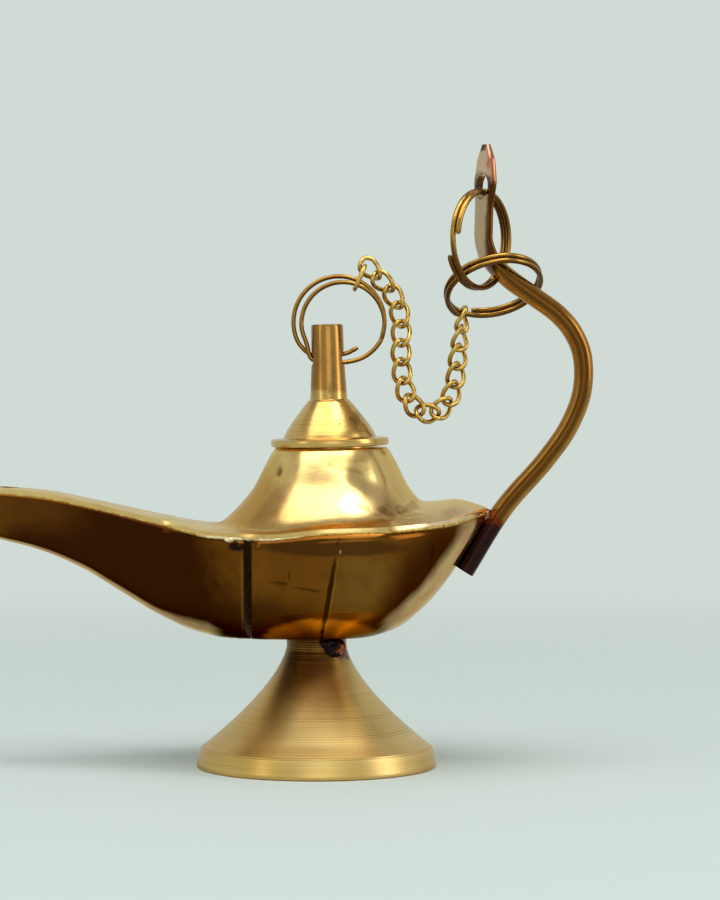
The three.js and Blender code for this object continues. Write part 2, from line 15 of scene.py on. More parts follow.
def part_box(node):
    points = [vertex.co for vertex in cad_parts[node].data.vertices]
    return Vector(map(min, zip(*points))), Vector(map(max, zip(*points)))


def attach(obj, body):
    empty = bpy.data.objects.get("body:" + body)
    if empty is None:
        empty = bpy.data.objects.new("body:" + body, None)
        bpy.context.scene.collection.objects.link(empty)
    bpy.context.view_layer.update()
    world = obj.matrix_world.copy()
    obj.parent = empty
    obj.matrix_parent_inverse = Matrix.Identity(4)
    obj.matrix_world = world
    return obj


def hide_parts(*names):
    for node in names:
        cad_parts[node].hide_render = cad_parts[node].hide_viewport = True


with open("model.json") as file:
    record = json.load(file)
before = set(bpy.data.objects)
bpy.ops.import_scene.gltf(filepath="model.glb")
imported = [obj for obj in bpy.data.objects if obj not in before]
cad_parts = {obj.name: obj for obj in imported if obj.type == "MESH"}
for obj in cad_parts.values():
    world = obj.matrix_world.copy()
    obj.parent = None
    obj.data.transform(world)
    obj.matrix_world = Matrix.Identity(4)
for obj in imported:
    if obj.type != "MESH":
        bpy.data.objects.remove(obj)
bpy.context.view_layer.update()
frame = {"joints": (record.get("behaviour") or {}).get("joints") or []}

MM = 0.001
foot_low, foot_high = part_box("foot")
AXIS_X = (foot_low.x + foot_high.x) / 2 / MM
FOOT_TOP = foot_high.z / MM
print("foot's axis at x", round(AXIS_X, 2), "mm, foot's top at", round(FOOT_TOP, 2), "mm")

# %% [markdown]
# ## The camera
# The photograph was taken with a long lens, level with the lid's flange. The camera is placed from
# the foot's axis, where one millimetre is five pixels of a picture 900 high.

# %% Camera
CAMERA_DISTANCE, CAMERA_HEIGHT, CAMERA_ASIDE = 660, 86, 8.7
CAMERA_TILT = radians(1.96)
FOCAL_PIXELS, PICTURE_HEIGHT = 3300, 900

camera = bpy.data.objects.new("camera", bpy.data.cameras.new("camera"))
bpy.context.scene.collection.objects.link(camera)
bpy.context.scene.camera = camera
camera.data.lens = camera.data.sensor_width * FOCAL_PIXELS / PICTURE_HEIGHT
camera.location = Vector((AXIS_X + CAMERA_ASIDE, -CAMERA_DISTANCE, CAMERA_HEIGHT)) * MM
camera.rotation_euler = (pi / 2 - CAMERA_TILT, 0, 0)
camera.data.clip_start = 0.01
print("camera", [round(value, 4) for value in camera.location])

# %% [markdown]
# ## Helpers for shapes
# Most pieces here are skins: a loop or a line of vertices that is extruded step by step, like a
# soft wire being drawn. Each vertex remembers its place round the loop in a layer of its own, which
# an extrusion copies, so one small function can say where every new vertex goes.

# %% A smooth curve through points
def curve_through(points):
    """Gives y for x along a smooth curve that never swings past its points."""
    slopes = [(b[1] - a[1]) / (b[0] - a[0]) for a, b in zip(points, points[1:])]
    tangents = [slopes[0]]
    for before, after in zip(slopes, slopes[1:]):
        tangents.append(0 if before * after <= 0 else 2 * before * after / (before + after))
    tangents.append(slopes[-1])

    def value(x):
        i = 0
        while i < len(points) - 2 and x > points[i + 1][0]:
            i += 1
        (x0, y0), (x1, y1) = points[i], points[i + 1]
        t = min(max((x - x0) / (x1 - x0), 0), 1)
        ease = t * t * (3 - 2 * t)
        lean = t * (1 - t) * (tangents[i] * (1 - t) - tangents[i + 1] * t)
        return y0 + (y1 - y0) * ease + (x1 - x0) * lean

    return value


# %% Skins drawn step by step
MERGE_GAP = 1e-6
SAME_TURN = 1e-5


def drawn_skin(turns, steps, place, loop=True, caps=False):
    """A line or loop of vertices, extruded steps times; place(turn, step) is in millimetres."""
    skin = bmesh.new()
    turn_layer = skin.verts.layers.float.new("turn")
    verts = []
    spaces = turns if loop else turns - 1
    for i in range(turns):
        vert = skin.verts.new(Vector(place(i / spaces, 0)) * MM)
        vert[turn_layer] = i / spaces
        verts.append(vert)
    edges = [skin.edges.new(pair) for pair in zip(verts, verts[1:])]
    if loop:
        edges.append(skin.edges.new((verts[-1], verts[0])))
    if caps:
        skin.faces.new(verts)
    for step in range(1, steps + 1):
        grown = bmesh.ops.extrude_edge_only(skin, edges=edges)["geom"]
        edges = [part for part in grown if isinstance(part, bmesh.types.BMEdge)]
        edges = [
            e for e in edges if abs(e.verts[0][turn_layer] - e.verts[1][turn_layer]) > SAME_TURN
        ]
        for vert in {vert for edge in edges for vert in edge.verts}:
            vert.co = Vector(place(vert[turn_layer], step)) * MM
    if caps:
        bmesh.ops.edgeloop_fill(skin, edges=edges)
    return skin


def closed(skin):
    """Merges what meets and points the faces outwards."""
    bmesh.ops.remove_doubles(skin, verts=skin.verts, dist=MERGE_GAP)
    bmesh.ops.dissolve_degenerate(skin, edges=skin.edges, dist=MERGE_GAP)
    bmesh.ops.recalc_face_normals(skin, faces=skin.faces)
    return skin


def turned_skin(outline, steps=128):
    """A turned piece: its outline (radius, height) in millimetres, spun round the Z axis."""
    skin = bmesh.new()
    verts = [skin.verts.new((radius * MM, 0, height * MM)) for radius, height in outline]
    edges = [skin.edges.new(pair) for pair in zip(verts, verts[1:])]
    bmesh.ops.spin(
        skin, geom=verts + edges, cent=(0, 0, 0), axis=(0, 0, 1), angle=tau,
        steps=steps, use_merge=True,
    )
    return closed(skin)


# %% From a skin to a finished piece
DRILL_LENGTH = 14


def new_object(name, skin):
    """A smoothly shaded object made from a skin, which is used up."""
    mesh = bpy.data.meshes.new(name)
    skin.to_mesh(mesh)
    skin.free()
    mesh.polygons.foreach_set("use_smooth", [True] * len(mesh.polygons))
    thing = bpy.data.objects.new(name, mesh)
    bpy.context.scene.collection.objects.link(thing)
    return thing


def finish_piece(skin, name, body, material, stands_for=(), crease=35):
    """Makes the object, keeps edges over crease degrees sharp, gives it its finish, and says what it
    rides on and which solids it stands for."""
    piece = new_object(name, skin)
    piece.data.set_sharp_from_angle(angle=radians(crease))
    piece.data.materials.append(material)
    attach(piece, body)
    if stands_for:
        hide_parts(*stands_for)
    print(name, len(piece.data.polygons), "faces")
    return piece


def moved(skin, matrix):
    """The skin, moved by a matrix whose lengths are in millimetres."""
    scaled = matrix.copy()
    scaled.translation = matrix.translation * MM
    bmesh.ops.transform(skin, matrix=scaled, verts=skin.verts)
    return skin


def drilled(skin, radius, place, segments=40):
    """Cuts a cylinder out of a closed skin with a Boolean modifier, and returns the result."""
    drill = bmesh.new()
    bmesh.ops.create_cone(
        drill, cap_ends=True, segments=segments, radius1=radius * MM, radius2=radius * MM,
        depth=DRILL_LENGTH * MM,
    )
    kept, tool = new_object("kept", skin), new_object("tool", moved(drill, place))
    boolean = kept.modifiers.new("cut", "BOOLEAN")
    boolean.operation = "DIFFERENCE"
    boolean.solver = "EXACT"
    boolean.object = tool
    bpy.context.view_layer.update()
    cut = kept.evaluated_get(bpy.context.evaluated_depsgraph_get()).to_mesh()
    result = bmesh.new()
    result.from_mesh(cut)
    for scratch in (kept, tool):
        mesh = scratch.data
        bpy.data.objects.remove(scratch)
        bpy.data.meshes.remove(mesh)
    return result


# %% [markdown]
# ## Helpers for finishes
# Every finish is built from nodes. Colours are written as on a web page and turned linear, because
# the renderer adds light in linear values. Patterns read Object coordinates, which are in metres
# and stay fixed to each piece, so a pattern's scale is one over its size in metres.

# %% Colours and nodes
def colour(code):
    """Linear red, green, blue and alpha from a hex colour such as b8863b."""
    parts = [int(code[i:i + 2], 16) / 255 for i in (0, 2, 4)]
    return [c / 12.92 if c <= 0.04045 else ((c + 0.055) / 1.055) ** 2.4 for c in parts] + [1]


def per_mm(size):
    """The scale of a pattern whose features are size millimetres apart."""
    return 1 / (size * MM)


def plug(finish, node, **inputs):
    """Sets a node's inputs to values or to outputs of other nodes, under the socket's name, or
    under i0, i1 and so on where several sockets share a name."""
    for name, value in inputs.items():
        socket = node.inputs[int(name[1:]) if name[1:].isdigit() else name.replace("_", " ")]
        if isinstance(value, bpy.types.NodeSocket):
            finish.node_tree.links.new(value, socket)
        else:
            socket.default_value = value


def add(finish, kind, output=0, settings=None, **inputs):
    """Adds a node with its settings and links, and gives one of its outputs."""
    node = finish.node_tree.nodes.new("ShaderNode" + kind)
    for name, value in (settings or {}).items():
        setattr(node, name, value)
    plug(finish, node, **inputs)
    return node.outputs[output]


def shade(finish, **inputs):
    """Sets inputs of the shader that a new material comes with."""
    plug(finish, finish.node_tree.nodes["Principled BSDF"], **inputs)


def brass(name, roughness=0.2):
    """A new metal finish and its Object coordinates."""
    finish = bpy.data.materials.new(name)
    finish.use_nodes = True
    shade(finish, Metallic=1, Roughness=roughness)
    return finish, add(finish, "TexCoord", "Object")


# %% Patterns
def clouds(finish, vector, size, low=0.4, high=0.6, most=1.0, detail=3.0, stretch=(1, 1, 1), least=0.0):
    """Soft patches about size millimetres apart: least where the noise is under low, most over high."""
    stretched = add(finish, "Mapping", Vector=vector, Scale=stretch)
    grain = add(finish, "TexNoise", Vector=stretched, Scale=per_mm(size), Detail=detail)
    return add(finish, "MapRange", Value=grain, From_Min=low, From_Max=high, To_Min=least, To_Max=most)


def patch(finish, place, middle, half_size, turn=0.0, edge=0.25, ragged=0.0, most=1.0):
    """most inside an ellipsoid and 0 outside it. Its middle is in millimetres from the foot's axis
    and the table, its half sizes are in millimetres, and turn is in degrees about Y."""
    local = add(
        finish, "Mapping", 0, {"vector_type": "TEXTURE"}, Vector=place,
        Location=Vector((AXIS_X + middle[0], middle[1], middle[2])) * MM,
        Rotation=(0, radians(turn), 0), Scale=Vector(half_size) * MM,
    )
    reach = add(finish, "VectorMath", "Value", {"operation": "LENGTH"}, i0=local)
    if ragged:
        uneven = clouds(finish, place, 2.6, 0.3, 0.7, ragged, 4.0, least=-ragged)
        reach = add(finish, "Math", 0, {"operation": "ADD"}, i0=uneven, i1=reach)
    return add(finish, "MapRange", 0, {"interpolation_type": "SMOOTHSTEP"}, Value=reach,
               From_Min=1 + edge, From_Max=1 - edge, To_Max=most)


def coloured(finish, place, first, layers):
    """Lays colours over one another: each layer is a mask or a patch's values, then a colour."""
    tone = add(finish, "RGB")
    tone.default_value = colour(first)
    for *shape, code in layers:
        mask = patch(finish, place, *shape) if len(shape) > 1 else shape[0]
        tone = add(finish, "Mix", 2, {"data_type": "RGBA"}, i0=mask, i6=tone, i7=colour(code))
    shade(finish, Base_Color=tone)


def raised(finish, place, layers):
    """Stacks bumps: each layer is a height or a patch's values, then a depth in millimetres."""
    below = {}
    for *shape, depth in layers:
        height = patch(finish, place, *shape) if len(shape) > 1 else shape[0]
        bump = add(finish, "Bump", Height=height, Distance=depth * MM, Strength=1.0, **below)
        below = {"Normal": bump}
    shade(finish, **below)


# %% [markdown]
# ## Turned brass
# The foot and the lid are turned on a lathe from cast brass, a yellow alloy of copper and zinc. The
# tool leaves fine rings round the piece, about two to a millimetre, which show as soft lines and
# pull the highlight across them. Rings depend only on height on these slopes, so the noise is
# squeezed until it changes along Z alone. Heat from the braze has browned the back of the foot's
# neck and tinted it purple beside the braze. The front of the neck and the cone carry painted dark
# reflections and a painted highlight, and the lid's stem has painted shade on its front left.

# %% Turned brass
BRASS_LIGHT = "e4c484"
BRASS = "d2aa60"
BRASS_DEEP = "a87a38"
PIT_BROWN = "5c3c1c"
RING_PITCH = 0.45
WAVE_BANDS = 20 / tau  # a Wave node draws this many bands in its scale's unit
RINGS = (0.015, 0.015, 1)


def turned_brass(name, stains_and_painted_light, roughness, ring_depth):
    finish, place = brass(name)
    grooves = add(finish, "TexWave", "Fac", {"bands_direction": "Z"}, Vector=place,
                  Scale=per_mm(RING_PITCH) / WAVE_BANDS, Distortion=0.3, Detail=1.0)
    uneven = clouds(finish, place, RING_PITCH * 2, 0.3, 0.7, detail=2.0, stretch=RINGS)
    fine = add(finish, "Math", 0, {"operation": "MULTIPLY"}, i0=grooves, i1=uneven)
    lines = add(finish, "Math", 0, {"operation": "MULTIPLY"}, i0=fine, i1=0.55)
    bloom = clouds(finish, place, 16, 0.4, 0.65, 0.6, 1.0)
    pits = clouds(finish, place, 0.55, 0.75, 0.8, 0.5, 1.0)
    layers = [(bloom, BRASS_LIGHT), *stains_and_painted_light, (lines, BRASS_DEEP), (pits, PIT_BROWN)]
    coloured(finish, place, BRASS, layers)
    shade(finish, Roughness=clouds(finish, place, 9, 0.35, 0.7, roughness + 0.05, 1.0,
                                   least=roughness - 0.02))
    raised(finish, place, [(fine, ring_depth)])
    return finish


FOOT_STAINS_AND_PAINTED_LIGHT = [
    # painted highlight on the front of the cone
    ((1.5, -18, 11), (9, 12, 8), 0, 0.8, 0.05, 0.7, "e8d48c"),
    # painted dark reflection on the cone's left front
    ((-6.5, -12, 12), (2.2, 14, 9), 24, 0.8, 0.05, 0.6, "8a6028"),
    # painted dark reflection on the front of the neck, in two layers
    ((-1.2, -8, 25), (8, 14, 9.5), 0, 0.8, 0.05, 0.9, "4e2c0e"),
    ((-1.2, -8, 25.5), (5.8, 10, 6), 0, 0.6, 0.05, 0.85, "381a08"),
    # purple heat tint beside the braze, then a brown heat stain on the back of the neck
    ((5.4, -6, 23.4), (2.0, 5, 1.9), 20, 0.3, 0.4, 0.9, "3a242c"),
    ((0, 8, 24.5), (7, 6, 3), 0, 0.7, 0.1, 0.7, "5a3618"),
    # darker on the front, just above the band
    ((0, -21, 5.2), (15, 4, 1.2), 0, 0.6, 0.05, 0.4, "8e6c34"),
]
LID_STAINS_AND_PAINTED_SHADE = [
    ((2.7, 0, 82), (6, 6, 8.5), 0, 0.06, 0.0, 0.8, "9c6a32"),
    # painted shade on the front left of the stem
    ((-0.6, -3, 82), (1.2, 3, 9), 0, 0.5, 0.1, 0.6, "7c4e1e"),
    ((3.2, -3.4, 79), (0.4, 1, 3.6), 2, 0.6, 1.2, 0.55, "75603a"),
    ((9, -6, 69.6), (1.6, 3, 2.4), -38, 0.5, 0.9, 0.6, "8a6a3c"),
    ((3, -8, 71.2), (0.7, 3, 0.4), 0, 0.4, 0.8, 0.6, "8a6a3c"),
    ((4.6, -8, 68.8), (0.3, 3, 0.3), 0, 0.4, 0.8, 0.8, "6c4a28"),
]

# %% [markdown]
# ## Pressed brass
# The bowl, the spout and the top are pressed from sheet. The top was buffed bright, and mirrors with
# a slight waviness, since pressed sheet is never quite even; its bell carries painted shade on the
# left and painted reflections on the right. The lower shell's dark brown is a painted reflection of
# dark surroundings: darkest along the spout, with a painted orange reflection of the foot low on the
# front. Hair-fine scratches run in all directions on both, and a painted pale reflection of the
# floor lies along the keel.

# %% Pressed brass
SIDEWAYS, UPWARDS = 1, 2  # places of Y and Z in a direction


def pressed_brass(name, tones, painted_light_and_marks, roughness, waves=0.14, dents=()):
    """tones are the metal's colour, its broad and its small patches, and its edge tint."""
    finish, place = brass(name)
    metal, broad_tone, small_tone, edge_tint = tones
    broad = clouds(finish, place, 13, 0.4, 0.65, 0.5, 3.0, (1, 1, 0.35))
    small = clouds(finish, place, 3.5, 0.5, 0.8, 0.35, 5.0)
    specks = clouds(finish, place, 0.6, 0.73, 0.79, 0.6, 1.0)
    layers = [(broad, broad_tone), *painted_light_and_marks, (small, small_tone), (specks, PIT_BROWN)]
    coloured(finish, place, metal, layers)
    polish = clouds(finish, place, 5, 0.35, 0.75, roughness + 0.1, 5.0, least=roughness - 0.03)
    shade(finish, Specular_Tint=colour(edge_tint), Roughness=polish)
    uneven = clouds(finish, place, 11, 0.0, 1.0, detail=1.0)
    hair = clouds(finish, place, 0.35, 0.0, 1.0, stretch=(0.06, 1, 0.8))
    cross = clouds(finish, place, 0.4, 0.0, 1.0, stretch=(0.9, 1, 0.06))
    raised(finish, place, [(uneven, waves), (hair, 0.006), (cross, 0.005), *dents])
    return finish


TOP_PAINTED_LIGHT_AND_MARKS = [
    # painted shade on the bell's left side
    ((-13, -8, 54), (7, 16, 9), -25, 0.6, 0.15, 0.7, "b47a36"),
    # painted pale reflection on the bell's right side
    ((16, -10, 52), (9, 16, 8), 30, 0.6, 0.15, 0.35, "d8b884"),
    # painted pale reflection on the deck towards the stern
    ((27, -10, 49), (11, 18, 5), 0, 0.5, 0.1, 0.7, "f0d4b0"),
    # fine dark lines and marks on the bell and the deck
    ((5.3, -14, 62), (4.4, 8, 1.0), 0, 0.5, 0.5, 0.4, "9a742e"),
    ((6.6, -14, 60), (3.4, 8, 0.5), 14, 0.5, 0.6, 0.4, "9a742e"),
    ((-7.2, -12, 58.7), (0.5, 8, 1.3), 12, 0.5, 0.8, 0.7, "5e3a14"),
    ((17.5, -16, 51.3), (4.5, 14, 1.3), -35, 0.6, 1.3, 0.45, "8c6428"),
    ((13.5, -16, 52), (3, 14, 0.5), 10, 0.6, 1.3, 0.5, "8c6428"),
    ((23, -16, 48.4), (6, 14, 0.4), 4, 0.5, 1.1, 0.4, "8c6428"),
]
BOWL_PAINTED_REFLECTIONS_AND_MARKS = [
    # painted dark reflection over the spout
    ((-40, 0, 36), (27, 30, 24), 0, 0.22, 0.06, 0.95, "381806"),
    # a lighter brown band by the spout's rim near its tip
    ((-58, -6, 53), (10, 12, 4.5), 14, 0.6, 0.1, 0.8, "643a12"),
    # painted lighter reflection on the bowl's front right
    ((9, -20, 38), (6, 14, 8), 0, 0.7, 0.1, 0.75, "7e5a22"),
    # painted dark reflections low on the front left and on the front right
    ((-14, -14, 29), (13, 18, 7), 0, 0.5, 0.06, 0.8, "3a1c08"),
    ((21, -12, 38), (6, 18, 15), 28, 0.5, 0.06, 0.95, "401c08"),
    # painted reflection of the rim, a dark band just below it
    ((3, -18, 45.4), (15, 14, 1.9), 1, 0.15, 0.1, 0.75, "4a2c10"),
    # painted orange reflection of the foot, low on the front
    ((1.3, -14, 26), (11.5, 22, 5.2), 0, 0.1, 0.06, 0.92, "cc8428"),
    # the crease: painted shade as a dark line along it, a painted highlight beside it, a painted glint
    # at its top
    ((2.5, -24, 34.8), (0.46, 30, 10.2), 9.5, 0.3, 0.3, 0.9, "2c1204"),
    ((3.4, -24, 36), (0.14, 12, 7), 9.5, 0.5, 0.5, 0.35, "a87c34"),
    ((4.9, -24, 44.6), (0.2, 12, 0.5), 0, 0.4, 0.3, 0.7, "c8a468"),
    # small dark marks, a dark line and a pale scratch
    ((-5, -24, 39.7), (0.22, 12, 0.9), -3, 0.5, 0.4, 0.7, "3c1a06"),
    ((-7.1, -24, 38.4), (1.9, 12, 0.28), 5, 0.5, 0.6, 0.65, "3c1e08"),
    ((-2, -24, 37.2), (2.8, 12, 0.26), 8, 0.5, 0.6, 0.6, "3c1e08"),
    ((22.9, -20, 44), (0.28, 16, 2.7), 12, 0.5, 0.4, 0.7, "2c1204"),
    ((13, -20, 28.8), (0.16, 14, 2.7), 48, 0.4, 0.3, 0.8, "c8a878"),
    # painted highlight on the spout's proud edge at the seam
    ((-14.3, -24, 36), (0.2, 30, 9.5), 0, 0.4, 0.3, 0.6, "8a5a28"),
    # painted shade in the gap at the seam's top
    ((-15, -23, 45.4), (2.2, 8, 0.8), 4, 0.3, 0.4, 0.95, "1e1410"),
]
BOWL_DENTS = [
    ((2.5, -24, 34.5), (0.6, 12, 9.3), 9.5, 0.6, 0.2, -0.12),
    ((-4, -24, 38), (5, 12, 1.2), 6, 0.8, 0.3, -0.05),
]


def paint_keel_floor_reflection(finish):
    """Paints a pale reflection of the floor along the keel, where the sheet faces neither side."""
    shader = finish.node_tree.nodes["Principled BSDF"]
    place = add(finish, "TexCoord", "Object")
    facing = add(finish, "SeparateXYZ", SIDEWAYS, Vector=add(finish, "TexCoord", "Normal"))
    aside = add(finish, "Math", 0, {"operation": "ABSOLUTE"}, i0=facing)
    keel = add(finish, "MapRange", Value=aside, From_Min=0.6, From_Max=0.5)
    middle = patch(finish, place, (-3, 0, 30), (17, 60, 40), edge=0.12)
    tip = patch(finish, place, (-68, 0, 50), (2.5, 30, 30), edge=0.3)
    left_out = add(finish, "Math", 0, {"operation": "MAXIMUM"}, i0=middle, i1=tip)
    reflection_mask = add(finish, "Math", 0, {"operation": "SUBTRACT", "use_clamp": True},
               i0=keel, i1=left_out)
    pale = add(finish, "Mix", 2, {"data_type": "RGBA"}, i0=clouds(finish, place, 4),
               i6=colour("cdae7a"), i7=colour("c2936c"))
    brown = shader.inputs["Base Color"].links[0].from_socket
    brown_tint = tuple(shader.inputs["Specular Tint"].default_value)
    tone, tint = [
        add(finish, "Mix", 2, {"data_type": "RGBA"}, i0=reflection_mask, i6=below, i7=above)
        for below, above in [(brown, pale), (brown_tint, colour("ffeacc"))]
    ]
    shade(finish, Base_Color=tone, Specular_Tint=tint)


# %% [markdown]
# ## Drawn wire and rod
# The handle's rod and the wire of the rings and the chain are drawn through dies, so their skin is
# smooth and even. The rings are browner, the chain is rubbed bright by its own swinging, and the rod
# is burnt purple-black where the torch heated its sawn end. Rings and chain carry painted shade on
# their under sides, and the rod a painted dark reflection along its sides.

# %% Wire brass
FACING_SHADE_BROWN = "4a2608"


def drawn_brass(name, light, dark, skin, roughness, stains_and_painted_light=(), spread=0.6):
    """skin paints brown by the way the surface faces, as painted shade on the under sides of rings and
    chain and a painted dark reflection on the rod's sides: the axis of the surface's direction, the
    values of it between which the brown comes in, and how strong it is."""
    finish, place = brass(name)
    axis, clear, full, most = skin
    # brown by facing direction: painted shade below, a painted dark reflection on the rod's sides
    facing = add(finish, "SeparateXYZ", axis, Vector=add(finish, "TexCoord", "Normal"))
    if axis == SIDEWAYS:
        facing = add(finish, "Math", 0, {"operation": "ABSOLUTE"}, i0=facing)
    brown = add(finish, "MapRange", Value=facing, From_Min=clear, From_Max=full, To_Max=most)
    patches = clouds(finish, place, 6, 0.42, 0.68, spread, 4.0)
    fine = clouds(finish, place, 0.7, 0.55, 0.8, 0.35)
    layers = [(patches, dark), (brown, FACING_SHADE_BROWN), (fine, PIT_BROWN), *stains_and_painted_light]
    coloured(finish, place, light, layers)
    shade(finish, Roughness=clouds(finish, place, 1.4, 0.3, 0.8, roughness + 0.12,
                                   least=roughness - 0.04))
    raised(finish, place, [(fine, 0.012), (patches, 0.03)])
    return finish


ROD_STAINS_AND_PAINTED_SHADE = [
    ((34, 0, 40), (9.6, 9, 11.4), 0, 0.1, 0.12, 0.95, "6e2c12"),
    ((32, 0, 38), (9.2, 9, 11), 0, 0.12, 0.2, 0.95, "2a1c1c"),
    ((32.3, -3, 108), (1.9, 6, 17), 0, 0.2, 0.1, 0.75, "c0a884"),
    ((33.2, -1, 120.5), (2.6, 6, 4.5), 0, 0.3, 0.3, 0.8, "dcb89c"),
    ((35.1, -1, 107.5), (1.5, 8, 11), 2, 0.25, 0.12, 0.9, "4e2a0e"),
    # dark at the top of the hood's hole: burn, with painted shade in the hole
    ((33.0, -2, 116.6), (1.7, 6, 2.0), 0, 0.3, 0.4, 0.9, "2c1a10"),
    ((33.0, -2, 124.0), (0.8, 6, 1.0), 0, 0.3, 0.3, 0.95, "1c1a18"),
    ((35.0, -2, 121), (0.9, 6, 3.0), -8, 0.4, 0.6, 0.85, "b86c50"),
]

# %% Solder and braze
def solder(name, light, dark, layers=(), roughness=0.38, grain_depth=0.12):
    finish, place = brass(name, roughness)
    grain = clouds(finish, place, 0.9, 0.35, 0.7, detail=5.0)
    lumps = clouds(finish, place, 2.2, 0.52, 0.68, 0.8)
    coloured(finish, place, light, [(grain, dark), *layers, (lumps, dark)])
    raised(finish, place, [(lumps, 0.2), (grain, grain_depth)])
    return finish


RIM_SOLDER_TONES_AND_PAINTED_SHADE = [
    ((-14, -20, 46), (11, 10, 3), 0, 0.15, 0.25, 0.9, "efe0b4"),
    # painted shade in the gap at the seam's top
    ((-15.8, -24, 45.0), (1.7, 6, 0.5), 4, 0.3, 0.3, 1.0, "221a1c"),
    ((-5.5, -24, 46.0), (0.9, 6, 0.5), -4, 0.3, 0.3, 1.0, "241814"),
]
# a copper-red painted glint on the braze
BRAZE_PAINTED_GLINT = [((6, -5, 23.5), (1.1, 4, 1.1), 0, 0.4, 0.9, 0.9, "b0603c")]
TOP_TONES = ("e6c480", "d0a45c", "b08440", "fff0d0")
# The bowl's dark brown tones are a painted reflection of dark surroundings.
BOWL_TONES = ("7a4a14", "57300c", "3e1e06", "a4a296")

FOOT_BRASS = turned_brass("turned_brass_foot", FOOT_STAINS_AND_PAINTED_LIGHT, 0.34, 0.011)
LID_BRASS = turned_brass("turned_brass_lid", LID_STAINS_AND_PAINTED_SHADE, 0.24, 0.012)
TOP_BRASS = pressed_brass("pressed_brass_top", TOP_TONES, TOP_PAINTED_LIGHT_AND_MARKS, 0.19)
BOWL_BRASS = pressed_brass("pressed_brass_bowl", BOWL_TONES, BOWL_PAINTED_REFLECTIONS_AND_MARKS, 0.14, 0.1, BOWL_DENTS)
paint_keel_floor_reflection(BOWL_BRASS)
# painted shade on the under sides of rings and chain, a painted dark reflection along the rod's sides
ring_underside_shade, chain_underside_shade = (UPWARDS, 0.35, -0.3, 0.85), (UPWARDS, 0.0, -0.7, 0.6)
rod_side_reflection = (SIDEWAYS, 0.72, 0.95, 0.8)
RING_BRASS = drawn_brass("ring_wire_brass", "b88a3e", "6e4a20", ring_underside_shade, 0.16)
CHAIN_BRASS = drawn_brass("chain_wire_brass", "dcb45c", "94682c", chain_underside_shade, 0.18)
ROD_BRASS = drawn_brass("rod_brass", "b07c38", "80521f", rod_side_reflection, 0.18, ROD_STAINS_AND_PAINTED_SHADE, 0.4)
SOLDER = solder("rim_solder", "d8b464", "a8802f", RIM_SOLDER_TONES_AND_PAINTED_SHADE)
BRAZE = solder("braze_lump", "33222a", "1c1418", BRAZE_PAINTED_GLINT, 0.25, 0.2)
# the seam's solder is near-black: painted shade in the groove
SEAM_SOLDER_PAINTED_SHADE = solder("seam_solder_in_painted_shade", "2c190a", "1c0e06", (), 0.3, 0.02)
STERN_BRAZE = solder("stern_braze", "b89468", "6a4028", (), 0.32, 0.04)
print("finishes", [finish.name for finish in bpy.data.materials])

# %% [markdown]
# ## The foot
# The foot is a flared cone on a low band, hollow underneath. A lathe shapes it, so it is an outline
# spun round the axis. The outline runs inside and out in one go, which leaves no open edge.

# %% Foot
FOOT_RADIUS, BAND_HEIGHT, NECK_RADIUS, FOOT_WALL = 24, 4.2, 6, 2.2
CONE_BOTTOM = FOOT_RADIUS - 1.3
CONE_TOP = FOOT_TOP - 2


def cone_radius(share):
    return NECK_RADIUS + (CONE_BOTTOM - NECK_RADIUS) * share ** 1.5


def cone_height(share):
    return CONE_TOP + (BAND_HEIGHT - CONE_TOP) * share


shares = [i / 40 for i in range(41)]
foot_outline = [(0, FOOT_TOP), (NECK_RADIUS, FOOT_TOP)]
foot_outline += [(cone_radius(s), cone_height(s)) for s in shares]
foot_outline += [
    (CONE_BOTTOM + 0.05, BAND_HEIGHT - 0.25), (CONE_BOTTOM + 0.5, BAND_HEIGHT - 0.3),
    (FOOT_RADIUS - 0.65, BAND_HEIGHT - 0.7), (FOOT_RADIUS - 0.1, 1.0), (FOOT_RADIUS, 0.55),
    (FOOT_RADIUS - 0.1, 0.15), (FOOT_RADIUS - 0.35, 0), (CONE_BOTTOM - FOOT_WALL, 0),
]
foot_outline += [(cone_radius(s) - FOOT_WALL, cone_height(s) - FOOT_WALL) for s in shares[:7:-3]]
foot_outline.append((0, foot_outline[-1][1]))
foot_skin = moved(turned_skin(foot_outline, 160), Matrix.Translation((AXIS_X, 0, 0)))
finish_piece(foot_skin, "foot_turned", "lamp", FOOT_BRASS, ["foot"])

# %% [markdown]
# ## The body's curves
# Bowl, spout and top share one leaf-shaped plan. Half the width, the rim's height, the keel and the
# deck's crown are each a smooth curve along the body, given as (place, size) with the place from -1
# at the spout's tip to 1 at the stern, and the size as a part of a driving dimension.

# %% Body curves
SPOUT_REACH, STERN_REACH, HALF_WIDTH = 67.5, 34.3, 25
BOWL_DEPTH, SHELL_WALL, SPOUT_SEAM = 21.7, 1, 12.8
NECK_X, NECK_OUTSIDE, NECK_BORE, NECK_TOP = 3, 11.2, 9.4, 37.6


def along(share):
    return share * (SPOUT_REACH if share < 0 else STERN_REACH)


def body_curve(size, outline):
    return curve_through([(along(share), part * size) for share, part in outline])


